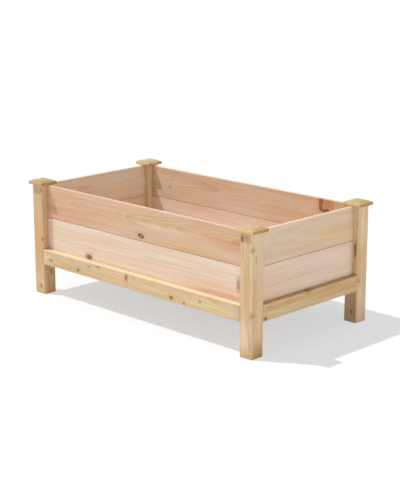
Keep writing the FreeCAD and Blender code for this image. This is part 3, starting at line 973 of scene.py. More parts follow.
def spaced(start: float, end: float, guard: float) -> list[float]:
    """Places along a stretch, close together near its ends and even between them.

    Args:
        start: The first place.
        end: The last place.
        guard: How far from each end the next place lies.

    Returns:
        The places in order.
    """
    inner_start, inner_end = start + guard, end - guard
    count = max(1, round((inner_end - inner_start) / RING_STEP))
    inner = [inner_start + (inner_end - inner_start) * i / count for i in range(count + 1)]
    return [start, *inner, end]


def rounded_corner(i: int, half_width: float, half_height: float, radius: float) -> list[Pair]:
    """The arc round one corner of a rectangle.

    Args:
        i: The corner's number, anticlockwise from the one where both signs are plus.
        half_width: Half of the rectangle's width.
        half_height: Half of its height.
        radius: The arc's radius.

    Returns:
        The arc's points, anticlockwise.
    """
    cosine, sine = QUARTERS[i]
    across = (cosine - sine) * (half_width - radius)
    up = (cosine + sine) * (half_height - radius)
    turns = [math.pi / 2 * (i + step / ARC_STEPS) for step in range(ARC_STEPS + 1)]
    return [(across + radius * math.cos(turn), up + radius * math.sin(turn)) for turn in turns]


@dataclass
class Section:
    """A rectangle with rounded corners, as the outline of a stick across its grain."""

    width: float
    height: float
    radii: tuple[float, float, float, float]
    flat_step: float = 18.0 * MM
    flat_count: int = 0
    guard: float = 1.2 * MM

    def outline(self, radius_share: float = 1.0) -> list[Pair]:
        """The outline's points, anticlockwise from the corner where both signs are plus.

        Args:
            radius_share: What the corner radii are multiplied by here.

        Returns:
            The points as (across, up) pairs. Their count doesn't depend on the share.
        """
        points: list[Pair] = []
        for i, radius in enumerate(self.radii):
            rounding = radius * radius_share
            points += rounded_corner(i, self.width / 2, self.height / 2, rounding)
            points += self._flat(i, radius_share)
        return points

    def _flat(self, i: int, share: float) -> list[Pair]:
        """The points between corner i and the next, without their ends.

        Args:
            i: The corner's number.
            share: What the corner radii are multiplied by.

        Returns:
            The points, anticlockwise.
        """
        span, reach = (self.width, self.height) if i % 2 == 0 else (self.height, self.width)
        start = span / 2 - self.radii[i] * share - self.guard
        end = -span / 2 + self.radii[(i + 1) % 4] * share + self.guard
        count = self.flat_count or max(1, round(span / self.flat_step))
        places = [start + (end - start) * (j / count) for j in range(count + 1)]
        cosine, sine = QUARTERS[i]
        return [(u * cosine - reach / 2 * sine, u * sine + reach / 2 * cosine) for u in places]


@dataclass
class Sweep:
    """A stick's skin: rings of points from one end of the grain to the other."""

    section: Section
    seed: float = 0.0
    arris_wear: float = 0.22
    wear_waves: float = 9.0
    nick_waves: float = 4.0
    nick_seed: float = 40.0
    nick_onset: float = 0.45
    rings: list[Ring] = field(default_factory=list)

    def add_body(self, reach: float, ease: float) -> None:
        """Adds rings of the full section about the stick's middle, with eased ends.

        Args:
            reach: How far the body goes to each side of the middle.
            ease: How far its end arrises are eased.
        """
        for along in spaced(-reach, reach, ease):
            self.rings.append(self._ring(along, ease if abs(along) == reach else 0.0))

    def add_ends(self, remap: Remap) -> None:
        """Adds two further rings past each end, made from the end rings.

        Args:
            remap: Gives a point's new place from the point, the end, -1 or 1, and the ring, 0 or 1.
        """
        first, last = self.rings[0], self.rings[-1]
        for stage in range(2):
            self.rings.insert(0, [remap(point, -1, stage) for point in first])
            self.rings.append([remap(point, 1, stage) for point in last])

    def _ring(self, along: float, inset: float) -> Ring:
        """One ring of the full section.

        Args:
            along: Where the ring is along the grain.
            inset: How far its points are drawn in, for an eased end.

        Returns:
            The ring's points.
        """
        wear = 1.0 + self.arris_wear * drift_at(along, self.seed, self.wear_waves)
        nick = drift_at(along, self.seed + self.nick_seed, self.nick_waves) - self.nick_onset
        share_across = 1.0 - 2 * inset / self.section.width
        share_up = 1.0 - 2 * inset / self.section.height
        outline = self.section.outline(wear + max(0.0, nick))
        return [Vector((along, across * share_across, up * share_up)) for across, up in outline]


def skin(name: str, rings: Sequence[Ring]) -> bpy.types.Mesh:
    """Joins rings of equal count into one closed mesh.

    Args:
        name: The mesh's name.
        rings: The rings in order. The first and the last are closed with a face.

    Returns:
        The mesh, smooth within its arrises and sharp across them.
    """
    work = bmesh.new()
    loops = [[work.verts.new(point) for point in ring] for ring in rings]
    count = len(rings[0])
    for low, high in zip(loops, loops[1:]):
        for i in range(count):
            j = (i + 1) % count
            work.faces.new((low[i], low[j], high[j], high[i]))
    work.faces.new(list(reversed(loops[0])))
    work.faces.new(loops[-1])
    bmesh.ops.remove_doubles(work, verts=work.verts, dist=WELD_REACH)
    bmesh.ops.dissolve_degenerate(work, edges=work.edges, dist=SLIVER_REACH)
    bmesh.ops.recalc_face_normals(work, faces=work.faces)
    mesh = bpy.data.meshes.new(name)
    work.to_mesh(mesh)
    work.free()
    shade(mesh)
    return mesh


def shade(mesh: bpy.types.Mesh, sharp_above: float = 50.0) -> None:
    """Shades a mesh smooth, with sharp edges where its faces turn by more than an angle.

    Args:
        mesh: The mesh.
        sharp_above: The angle in degrees.
    """
    mesh.polygons.foreach_set("use_smooth", [True] * len(mesh.polygons))
    mesh.set_sharp_from_angle(angle=math.radians(sharp_above))
    mesh.update()


def merged(name: str, parts: Sequence[bpy.types.Mesh]) -> bpy.types.Mesh:
    """Puts meshes together in one, without joining their skins.

    Args:
        name: The new mesh's name.
        parts: The meshes, which are used up.

    Returns:
        The mesh.
    """
    work = bmesh.new()
    for part in parts:
        work.from_mesh(part)
        bpy.data.meshes.remove(part)
    mesh = bpy.data.meshes.new(name)
    work.to_mesh(mesh)
    work.free()
    return mesh


def lathe(name: str, profile: Sequence[Pair], steps: int) -> bpy.types.Mesh:
    """Turns a profile about Z.

    Args:
        name: The mesh's name.
        profile: (radius, height) pairs from the lower end to the upper end.
        steps: How many sides the round has.

    Returns:
        The mesh, closed at both ends.
    """
    turns = [2 * math.pi * i / steps for i in range(steps)]
    rings = [
        [Vector((radius * math.cos(turn), radius * math.sin(turn), height)) for turn in turns]
        for radius, height in profile
    ]
    return skin(name, rings)


def cut_away(target: bpy.types.Mesh, cutters: Sequence[bpy.types.Mesh]) -> bpy.types.Mesh:
    """Cuts meshes out of another.

    Args:
        target: The mesh to cut. It is replaced.
        cutters: Closed meshes in the same coordinates, which are used up.

    Returns:
        The cut mesh.
    """
    stock = bpy.data.objects.new("stock", target)
    tool = bpy.data.objects.new("tool", merged("cutters", cutters))
    for thing in (stock, tool):
        bpy.context.scene.collection.objects.link(thing)
    cut = stock.modifiers.new("cut", "BOOLEAN")
    cut.operation = "DIFFERENCE"
    cut.solver = "EXACT"
    cut.object = tool
    bpy.context.view_layer.update()
    graph = bpy.context.evaluated_depsgraph_get()
    made = bpy.data.meshes.new_from_object(stock.evaluated_get(graph))
    made.name = target.name
    for spent in (stock, tool):
        spent_mesh = spent.data
        bpy.data.objects.remove(spent)
        bpy.data.meshes.remove(spent_mesh)
    shade(made)
    return made


def box_cutter(low: Triple, high: Triple) -> bpy.types.Mesh:
    """A plain box used as a cutter.

    Args:
        low: Its lowest corner.
        high: Its highest corner.

    Returns:
        The mesh.
    """
    outline = ((low[1], low[2]), (high[1], low[2]), (high[1], high[2]), (low[1], high[2]))
    rings = [[Vector((along, y, z)) for y, z in outline] for along in (low[0], high[0])]
    return skin("box_cutter", rings)


# ---------------------------------------------------------------------------------------------
# Joinery


@dataclass(frozen=True)
class Dovetail:
    """The tongue on a bar's end and the groove in a post that it slides down."""

    depth: float = 10.0 * MM
    neck: float = 7.0 * MM
    flare: float = 10.0 * MM
    clearance: float = 0.25 * MM
    shoulder_gap: float = 0.4 * MM
    arris_inset: float = 1.0 * MM

    @property
    def reach(self) -> float:
        """How far a tongue goes past its bar's shoulder."""
        return self.shoulder_gap + self.depth - self.clearance

    def tongue(self, shoulder: float, middle: float, half_size: Pair) -> Remap:
        """How a bar's end ring becomes its tongue.

        Args:
            shoulder: The shoulder's distance from the bar's middle.
            middle: The tongue's middle across the bar's thickness.
            half_size: Half of the bar's height and of its thickness.

        Returns:
            The remapping for Sweep.add_ends, to the neck and to the tip.
        """
        half_height, half_thickness = half_size
        widths = (self.neck / 2 - self.clearance, self.flare / 2 - self.clearance)
        limit = half_height - self.arris_inset

        def remap(point: Vector, end: int, stage: int) -> Vector:
            """Finds a point's place on the tongue.

            Args:
                point: The point on the end ring.
                end: Which end, -1 or 1.
                stage: 0 for the neck and 1 for the tip.

            Returns:
                The place.
            """
            along = end * (shoulder + stage * self.reach)
            up = max(-limit, min(limit, point.y))
            share = max(-1.0, min(1.0, point.z / half_thickness))
            return Vector((along, up, middle + share * widths[stage]))

        return remap


@dataclass(frozen=True)
class ScrewSize:
    """A countersunk wood screw with a cross recess, and the hole that it sits in."""

    length: float = 35.0 * MM
    shank: float = 4.0 * MM
    head: float = 8.0 * MM
    rim: float = 0.4 * MM
    crown: float = 0.12 * MM
    point: float = 6.0 * MM
    thread_share: float = 0.8
    recess_width: float = 1.5 * MM
    recess_span: float = 4.2 * MM
    recess_depth: float = 2.0 * MM
    recess_taper: float = 0.45
    tip: float = 0.05 * MM
    point_share: float = 0.55
    thread_top: float = 6.0 * MM
    shank_end: float = 4.0 * MM
    crown_share: float = 0.6
    hole_clearance: float = 0.15 * MM
    hole_sink: float = 0.3 * MM
    sides: int = 24

    def mesh(self) -> bpy.types.Mesh:
        """Makes the screw, head up, with the top of its head at z = 0.

        Returns:
            The mesh.
        """
        head, shank = self.head / 2, self.shank / 2
        neck = -self.rim - (head - shank)
        thread = shank * self.thread_share
        profile = [
            (self.tip, -self.length),
            (shank * self.point_share, -self.length + self.point / 2),
            (thread, -self.length + self.point),
            (thread, neck - self.thread_top),
            (shank, neck - self.shank_end),
            (shank, neck),
            (head, -self.rim),
            (head, -self.crown),
            (head - self.crown, 0.0),
            (head * self.crown_share, 0.0),
        ]
        screw = lathe("screw", profile, self.sides)
        half_width, half_span = self.recess_width / 2, self.recess_span / 2
        for x, y in ((half_span, half_width), (half_width, half_span)):
            bar = box_cutter((-x, -y, -self.recess_depth), (x, y, MM))
            for vertex in bar.vertices:
                if vertex.co.z < 0.0:
                    vertex.co.x *= self.recess_taper
                    vertex.co.y *= self.recess_taper
            screw = cut_away(screw, [bar])
        return screw

    def hole(self, mouth: Matrix, depth: float) -> bpy.types.Mesh:
        """A cutter for the screw's countersunk hole.

        Args:
            mouth: The place of the hole's mouth, which looks along Z.
            depth: How deep the hole is.

        Returns:
            The cutter's mesh.
        """
        wall = self.shank / 2 + self.hole_clearance
        sunk = (self.head - self.shank) / 2 + self.rim + self.hole_sink
        past = 0.5 * MM
        profile = [(wall, -depth), (wall, -sunk), (wall + sunk + past, past)]
        cutter = lathe("hole", profile, self.sides)
        cutter.transform(mouth)
        return cutter


# ---------------------------------------------------------------------------------------------
# The bed's pieces

UPRIGHT = Matrix(((0.0, 1.0, 0.0), (0.0, 0.0, 1.0), (1.0, 0.0, 0.0)))
CROSSWISE = Matrix(((0.0, -1.0, 0.0), (1.0, 0.0, 0.0), (0.0, 0.0, 1.0)))
LEVEL = Matrix.Identity(3)


@dataclass
class Stick:
    """One wooden piece: the node that it stands for, its slot and its finish."""

    node: str
    slot: str
    finish: WoodFinish

    def axes(self) -> Matrix:
        """The turn from the piece's own axes, with its grain along X, to the frame's."""
        return LEVEL

    def size(self) -> Vector:
        """Takes the node's length, width and thickness along the piece's own axes.

        Returns:
            The three sizes.
        """
        low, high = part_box(self.node)
        turned = self.axes().transposed() @ (high - low)
        return Vector(abs(value) for value in turned)

    def seat(self) -> Matrix:
        """Takes the piece's own frame from the middle of the node's box.

        Returns:
            The frame.
        """
        low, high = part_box(self.node)
        return Matrix.Translation((low + high) / 2) @ self.axes().to_4x4()

    def place(self, mesh: bpy.types.Mesh) -> bpy.types.Object:
        """Puts a mesh, drawn about its middle, where the node's box is.

        Args:
            mesh: The piece's mesh, with its grain along X.

        Returns:
            The object, which rides on the bed and stands for the node.
        """
        piece = bpy.data.objects.new(f"{self.node}_wood", mesh)
        bpy.context.scene.collection.objects.link(piece)
        piece.matrix_world = self.seat()
        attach(piece, BODY)
        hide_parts(self.node)
        return piece

    def dress(self, piece: bpy.types.Object, half_size: Vector) -> None:
        """Gives the piece its wood.

        Args:
            piece: The object.
            half_size: Half of its length, width and thickness.
        """
        piece.data.materials.clear()
        piece.data.materials.append(self.finish.material(f"{self.node}_wood", half_size))
        LOG.info("%s: %d faces", piece.name, len(piece.data.polygons))


@dataclass
class Post(Stick):
    """A square post with eased arrises, a chamfered foot and two stopped dovetail grooves."""

    corner: Corner = Corner.FRONT_LEFT
    arris: float = 2.5 * MM
    arris_wear: float = 0.25
    wear_waves: float = 10.0
    foot_chamfer: float = 1.5 * MM
    top_ease: float = 0.5 * MM
    groove_setback: float = 31.1 * MM
    guard: float = 4.0 * MM
    face_guard: float = 1.2 * MM
    face_shares: tuple[float, ...] = (-1.0, -0.6, -0.2, 0.2, 0.6, 1.0)
    joint: Dovetail = Dovetail()

    def axes(self) -> Matrix:
        """A post's grain stands upright."""
        return UPRIGHT

    def build(self, groove_start: float) -> None:
        """Builds the post.

        Args:
            groove_start: The height at which the grooves stop, above the ground.
        """
        height, side, _ = self.size()
        foot, top = -height / 2, height / 2
        stop = groove_start - height / 2
        rings = [self._ring(foot, side, False, self.foot_chamfer)]
        for along in spaced(foot + self.foot_chamfer, stop, self.guard):
            rings.append(self._ring(along, side, False))
        for along in spaced(stop, top - self.top_ease, self.guard):
            rings.append(self._ring(along, side, True))
        rings.append(self._ring(top, side, True, self.top_ease))
        self.dress(self.place(skin(self.node, rings)), Vector((height, side, side)) / 2)

    def _ring(self, along: float, side: float, grooved: bool, inset: float = 0.0) -> Ring:
        """One ring of the post, with or without its two grooves.

        Args:
            along: Where the ring is along the post.
            side: The post's thickness.
            grooved: Whether the grooves are cut here.
            inset: How far the ring is drawn in, for an eased end.

        Returns:
            The ring's points.
        """
        half = side / 2
        wear = self.arris_wear * drift_at(along, self.finish.seed, self.wear_waves)
        radius = self.arris * (1.0 + wear)
        sign_x, sign_y = self.corner.value
        middle = half - self.groove_setback
        grooves = {(-sign_x, 0): sign_y * middle, (0, -sign_y): sign_x * middle}
        points: list[Pair] = []
        for i, (cosine, sine) in enumerate(QUARTERS):
            points += rounded_corner(i, half, half, radius)
            groove = grooves.get((-sine, cosine))
            along_face = None if groove is None else -groove * (cosine + sine)
            points += [
                (-sine * (half - deep) - cosine * u, cosine * (half - deep) - sine * u)
                for u, deep in self._stations(half - radius, along_face, grooved)
            ]
        share = 1.0 - inset / half
        return [Vector((along, y * share, z * share)) for y, z in points]

    def _stations(self, flat: float, groove: float | None, grooved: bool) -> list[Pair]:
        """The points of one face between two arrises, with the groove's outline on it.

        Args:
            flat: Half of the face's flat width.
            groove: The groove's middle along the face, or None where the face has no groove.
            grooved: Whether the groove is cut here.

        Returns:
            The points as pairs: how far along the face, and how deep.
        """
        reach = flat - self.face_guard
        if groove is None:
            return [(share * reach, 0.0) for share in self.face_shares]
        neck = self.joint.neck / 2
        inner, depth = (self.joint.flare / 2, self.joint.depth) if grooved else (neck / 2, 0.0)
        return [
            (-reach, 0.0),
            (groove - neck, 0.0),
            (groove - inner, depth),
            (groove + inner, depth),
            (groove + neck, 0.0),
            (reach, 0.0),
        ]


@dataclass
class Cap(Stick):
    """A square cap with an upright rim, a low bevel and a flat top."""

    rim: float = 11.0 * MM
    bevel: float = 16.0 * MM
    corner_radius: float = 1.5 * MM
    softness: float = 1.1 * MM
    corner_growth: float = 0.05
    waviness: float = 0.12 * MM
    wave_count: float = 30.0
    flat_count: int = 4

    def build(self) -> None:
        """Builds the cap from square rings, from its underside to its flat top."""
        width, depth, height = self.size()
        soft = self.softness
        slope = (height - self.rim) / self.bevel
        levels = [
            (0.0, soft * 0.6),
            (soft * 0.25, soft * 0.2),
            (soft * 0.6, 0.0),
            (self.rim - soft, 0.0),
            (self.rim - soft * 0.35, soft * 0.12),
            (self.rim + soft * 0.1, soft * 0.7),
            (self.rim + soft * 1.6 * slope, soft * 1.6),
            (height - soft * 1.6 * slope, self.bevel - soft * 1.6),
            (height - soft * 0.3 * slope, self.bevel),
            (height, self.bevel + soft * 1.6),
            (height, self.bevel + soft * 4.0),
        ]
        rings = []
        for level, inset in levels:
            radii = (self.corner_radius + inset * self.corner_growth,) * 4
            section = Section(
                width - 2 * inset, depth - 2 * inset, radii, flat_count=self.flat_count
            )
            waves = self.waviness if 0.0 < level < height else 0.0
            ring = []
            for x, y in section.outline():
                wave = waves * drift_at(x + level, self.finish.seed, self.wave_count)
                ring.append(Vector((x, y, level - height / 2 + wave)))
            rings.append(ring)
        self.dress(self.place(skin(self.node, rings)), Vector((width, depth, height)) / 2)


@dataclass
class SidePiece(Stick):
    """A piece that lies along one side of the bed."""

    side: Side = Side.FRONT

    def axes(self) -> Matrix:
        """The side's own axes."""
        return self.side.axes()


@dataclass
class TonguedBar(SidePiece):
    """A rail or a board: a bar between two posts with a dovetail tongue on each end."""

    radii: tuple[float, float, float, float] = (1.8 * MM,) * 4
    end_ease: float = 0.4 * MM
    tongue_middle: float = 0.0
    joint: Dovetail = Dovetail()

    def build(self) -> None:
        """Builds the bar."""
        length, height, thickness = self.size()
        shoulder = length / 2 - self.joint.reach
        sweep = Sweep(Section(height, thickness, self.radii), seed=self.finish.seed)
        sweep.add_body(shoulder, self.end_ease)
        half_size = (height / 2, thickness / 2)
        sweep.add_ends(self.joint.tongue(shoulder, self.tongue_middle, half_size))
        self.dress(self.place(skin(self.node, sweep.rings)), Vector((shoulder, *half_size)))


@dataclass
class Slat(Stick):
    """A floor slat across the bed, notched round the posts where it is at an end."""

    screws: ScrewSize = ScrewSize()
    screw_edge: float = 28.0 * MM
    screw_line: float = 0.0
    lower_arris: float = 0.6 * MM
    upper_arris: float = 1.0 * MM
    end_ease: float = 0.5 * MM
    shoulder_ease: float = 0.3 * MM
    notch: Pair = (0.0, 0.0)
    outer_side: int = 0

    def axes(self) -> Matrix:
        """A slat's grain runs across the bed."""
        return CROSSWISE

    def mouths(self) -> list[Matrix]:
        """Finds its screw holes: two over each cleat and one over the beam.

        Returns:
            The place of each hole's mouth, which looks along Z, in the slat's own coordinates.
        """
        _, width, thickness = self.size()
        reach = width / 2 - self.screw_edge
        places = [(j * self.screw_line, -i * reach) for i in (-1, 1) for j in (-1, 1)]
        places.append((0.0, 0.0))
        return [Matrix.Translation((x, y, thickness / 2)) for x, y in places]

    def build(self) -> None:
        """Builds the slat."""
        length, width, thickness = size = self.size()
        radii = (self.upper_arris,) * 2 + (self.lower_arris,) * 2
        sweep = Sweep(Section(width, thickness, radii), seed=self.finish.seed)
        if self.outer_side:
            sweep.add_body(length / 2 - self.notch[1], self.shoulder_ease)
            sweep.add_ends(self._past_notch(length, width))
        else:
            sweep.add_body(length / 2, self.end_ease)
        holes = [self.screws.hole(mouth, 2 * thickness) for mouth in self.mouths()]
        self.dress(self.place(cut_away(skin(self.node, sweep.rings), holes)), size / 2)

    def _past_notch(self, length: float, width: float) -> Remap:
        """How the slat's end ring becomes its narrower end past the notch.

        Args:
            length: The slat's length.
            width: Its width.

        Returns:
            The remapping for Sweep.add_ends.
        """
        notch_width, notch_length = self.notch
        edge = width / 2 - notch_width

        def remap(point: Vector, end: int, stage: int) -> Vector:
            """Finds a point's place on the narrower end.

            Args:
                point: The point on the end ring.
                end: Which end, -1 or 1.
                stage: 0 at the notch and 1 at the slat's end.

            Returns:
                The place.
            """
            along = end * (length / 2 - (1 - stage) * notch_length)
            limit = edge - (width / 2 - abs(point.y) if abs(point.y) > edge else 0.0)
            outer = point.y * self.outer_side
            across = min(outer, limit) if outer > 0 else outer
            return Vector((along, across * self.outer_side, point.z))

        return remap


@dataclass
class Cleat(SidePiece):
    """A strip along the inner face of a rail, which carries the floor."""

    screws: ScrewSize = ScrewSize()
    screw_count: int = 5
    screw_end: float = 60.0 * MM
    screw_height: float = 11.0 * MM
    arris: float = 0.6 * MM
    inner_arris: float = 2.0 * MM
    end_ease: float = 0.4 * MM
    housing: Pair | None = None

    def mouths(self) -> list[Matrix]:
        """Finds its screw holes, evenly spaced along its inner face.

        Returns:
            The place of each hole's mouth, which looks inwards, in the cleat's own coordinates.
        """
        length, height, thickness = self.size()
        first = -length / 2 + self.screw_end
        step = -2 * first / (self.screw_count - 1)
        inwards = Matrix.Rotation(math.pi, 4, "X")
        level = self.screw_height - height / 2
        return [
            Matrix.Translation((first + i * step, level, -thickness / 2)) @ inwards
            for i in range(self.screw_count)
        ]

    def build(self) -> None:
        """Builds the cleat, with its screw holes and any housing for the beam."""
        length, height, thickness = size = self.size()
        radii = (self.arris, self.arris, self.inner_arris, self.arris)
        sweep = Sweep(Section(height, thickness, radii), seed=self.finish.seed)
        sweep.add_body(length / 2, self.end_ease)
        cutters = [self.screws.hole(mouth, 2 * thickness) for mouth in self.mouths()]
        if self.housing is not None:
            width, depth = self.housing
            past = 2.0 * MM
            low = (-width / 2, height / 2 - depth, -thickness / 2 - past)
            high = (width / 2, height / 2 + past, thickness / 2 + past)
            cutters.append(box_cutter(low, high))
        self.dress(self.place(cut_away(skin(self.node, sweep.rings), cutters)), size / 2)


@dataclass
class Beam(SidePiece):
    """The lengthwise floor beam, half lapped into the end cleats."""

    arris: float = 0.8 * MM
    end_ease: float = 0.4 * MM
    lap_length: float = 19.5 * MM
    lap_depth: float = 19.0 * MM

    def build(self) -> None:
        """Builds the beam."""
        length, height, width = size = self.size()
        sweep = Sweep(Section(height, width, (self.arris,) * 4), seed=self.finish.seed)
        sweep.add_body(length / 2 - self.lap_length, self.end_ease)
        sweep.add_ends(self._lap(length, height))
        self.dress(self.place(skin(self.node, sweep.rings)), size / 2)

    def _lap(self, length: float, height: float) -> Remap:
        """How the beam's end ring becomes its half lap.

        Args:
            length: The beam's length.
            height: Its height.

        Returns:
            The remapping for Sweep.add_ends.
        """

        def remap(point: Vector, end: int, stage: int) -> Vector:
            """Finds a point's place on the half lap.

            Args:
                point: The point on the end ring.
                end: Which end, -1 or 1.
                stage: 0 at the shoulder and 1 at the beam's end.

            Returns:
                The place.
            """
            along = end * (length / 2 - (1 - stage) * self.lap_length)
            share = (point.y + height / 2) / height
            return Vector((along, height / 2 - (1.0 - share) * self.lap_depth, point.z))

        return remap


@dataclass
class ScrewSet:
    """All screws of one node, as one piece."""

    node: str
    size: ScrewSize = ScrewSize()
    finish: ZincFinish = ZincFinish()
    turn_between: float = 2.4
    sharp_above: float = 35.0

    def build(self, holders: Sequence[Slat | Cleat]) -> None:
        """Builds the screws in their holders' holes, with their heads just below the face.

        Args:
            holders: The pieces whose holes the screws fill.
        """
        sunk = Matrix.Translation((0.0, 0.0, -HEAD_SINK))
        seats = [holder.seat() @ mouth @ sunk for holder in holders for mouth in holder.mouths()]
        pattern = self.size.mesh()
        screws = []
        for number, seat in enumerate(seats):
            screw = pattern.copy()
            screw.transform(seat @ Matrix.Rotation(number * self.turn_between, 4, "Z"))
            screws.append(screw)
        bpy.data.meshes.remove(pattern)
        mesh = merged(self.node, screws)
        shade(mesh, self.sharp_above)
        piece = bpy.data.objects.new(f"{self.node}_steel", mesh)
        bpy.context.scene.collection.objects.link(piece)
        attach(piece, BODY)
        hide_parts(self.node)
        mesh.materials.append(self.finish.material(f"{self.node}_zinc"))
        LOG.info("%s: %d screws", piece.name, len(seats))


# ---------------------------------------------------------------------------------------------
# Woods of this bed: knots and patches lie where the photograph shows them

PINE = WoodFinish(
    early=(0.80, 0.58, 0.335),
    late=(0.62, 0.38, 0.17),
    drift=(0.82, 0.53, 0.33),
    ring_width=3.6 * MM,
    streak_strength=0.22,
    hue_strength=1.2,
    drift_strength=0.6,
    roughness=0.6,
    knot_core=(0.26, 0.12, 0.04),
    knot_rim=(0.15, 0.065, 0.02),
    knot_halo=(0.6, 0.3, 0.1),
)
CEDAR = WoodFinish(
    early=(0.80, 0.52, 0.345),
    late=(0.64, 0.33, 0.19),
    drift=(0.76, 0.44, 0.29),
    ring_width=3.4 * MM,
    roughness=0.64,
    # The tint of the painted joint shade and of the darker foot.
    joint_shade_and_foot_tint=(0.4, 0.26, 0.17),
    knot_core=(0.22, 0.075, 0.03),
    knot_rim=(0.09, 0.03, 0.012),
    knot_halo=(0.62, 0.24, 0.13),
)
LOWER_CEDAR = replace(
    CEDAR,
    pith=(0.0, 0.3, -0.55),
    slope=(0.0, 0.012, 0.0),
    wobble=0.009,
    ring_width=5.5 * MM,
    hue_strength=0.6,
    # Painted shade along the top edge, in the joint under the upper board.
    joint_shade_high=1.0,
)
# Painted shade along the lower edge, in the joint over the lower board.
UPPER_CEDAR = replace(CEDAR, pith=(0.0, 0.015, -0.075), slope=(0.0, 0.012, 0.03), joint_shade_low=1.0)
SLAT_CEDAR = replace(CEDAR, tone=(0.9, 0.93, 0.95))
# Caps: their upward faces darker in cloudy patches, partly weathering and partly painted shade.
CAP_PINE = replace(PINE, upward_painted_light=1.0)
DOWEL_PINE = replace(PINE, seed=130.0, early=(0.66, 0.46, 0.27), ring_width=1.5 * MM)

POST_FRONT = -29.2 * MM
POST_RIGHT = 29.2 * MM
RAIL_OUT = 19.0 * MM
BOARD_OUT = 7.0 * MM
BOARD_IN = -7.0 * MM

POST_WOODS = {
    Corner.FRONT_LEFT: replace(
        PINE,
        seed=3.1,
        foot_darkening=0.1,
        tone=(0.95, 0.93, 0.88),
        patches=(
            Patch((-0.01, 0.0, POST_FRONT), (0.1, 0.04, 0.04), (1.03, 0.93, 0.78)),
            Patch((-0.18, 0.0, POST_FRONT), (0.06, 0.04, 0.02), (1.09, 1.13, 1.24)),
        ),
        knots=(
            Knot((0.211, 0.024, POST_FRONT), (0.005, 0.0035, 0.01)),
            Knot((0.003, 0.024, POST_FRONT), (0.0065, 0.0045, 0.012)),
            Knot((-0.197, 0.008, POST_FRONT), (0.0065, 0.0045, 0.012)),
            Knot((-0.138, POST_RIGHT, 0.008), (0.007, 0.012, 0.005), core=0.6, rim=0.5),
        ),
    ),
    Corner.FRONT_RIGHT: replace(
        PINE,
        seed=7.7,
        foot_darkening=0.5,
        tone=(1.04, 1.04, 1.08),
        patches=(
            Patch((-0.15, -0.005, POST_FRONT), (0.075, 0.035, 0.03), (1.1, 1.16, 1.35)),
            Patch((-0.21, POST_RIGHT, 0.0), (0.05, 0.03, 0.03), (0.85, 0.78, 0.68)),
            # Painted shadow of the cap across the top of the front face.
            Patch((0.216, -0.01, POST_FRONT), (0.016, 0.035, 0.02), (0.9, 0.82, 0.74)),
        ),
        knots=(
            Knot((0.205, -0.021, POST_FRONT), (0.008, 0.0045, 0.012), core=1.0, rim=1.0),
            Knot((0.157, -0.016, POST_FRONT), (0.024, 0.0016, 0.008), core=0.5, rim=0.3),
            Knot((0.171, 0.026, POST_FRONT), (0.007, 0.004, 0.01), core=0.4, rim=0.4, redness=0.8),
            Knot((-0.069, 0.025, POST_FRONT), (0.007, 0.006, 0.01), core=0.4, rim=0.4, redness=0.8),
            Knot((0.136, POST_RIGHT, -0.011), (0.013, 0.008, 0.0018), core=0.6, rim=0.4),
        ),
    ),
    Corner.REAR_RIGHT: replace(
        PINE,
        seed=12.9,
        foot_darkening=0.1,
        tone=(1.04, 1.08, 1.16),
        patches=(
            Patch((-0.01, POST_RIGHT, -0.01), (0.07, 0.03, 0.02), (1.05, 0.96, 0.82)),
            # Painted light: the right-facing side paler, at its leg and its top.
            Patch((-0.16, POST_RIGHT, 0.0), (0.09, 0.04, 0.035), (1.14, 1.2, 1.32)),
            Patch((0.14, POST_RIGHT, 0.0), (0.08, 0.04, 0.035), (1.06, 1.12, 1.18)),
        ),
        knots=(
            Knot((0.058, 0.016, POST_FRONT), (0.026, 0.0045, 0.01), core=0.9, rim=0.7, redness=0.9),
            Knot((-0.052, POST_RIGHT, -0.023), (0.004, 0.008, 0.003), core=0.7, rim=0.6),
            Knot((-0.065, POST_RIGHT, -0.02), (0.004, 0.008, 0.003), core=0.7, rim=0.6),
            Knot((-0.188, 0.005, POST_FRONT), (0.006, 0.0045, 0.01), core=0.7, rim=0.7),
        ),
    ),
    Corner.REAR_LEFT: replace(PINE, seed=17.3, foot_darkening=0.4, tone=(0.97, 1.08, 1.05)),
}

CAP_TONES = {
    Corner.FRONT_LEFT: (0.97, 1.0, 0.98),
    Corner.FRONT_RIGHT: (1.04, 0.95, 0.83),
    Corner.REAR_RIGHT: (1.0, 1.02, 1.0),
    Corner.REAR_LEFT: (1.02, 1.06, 1.12),
}

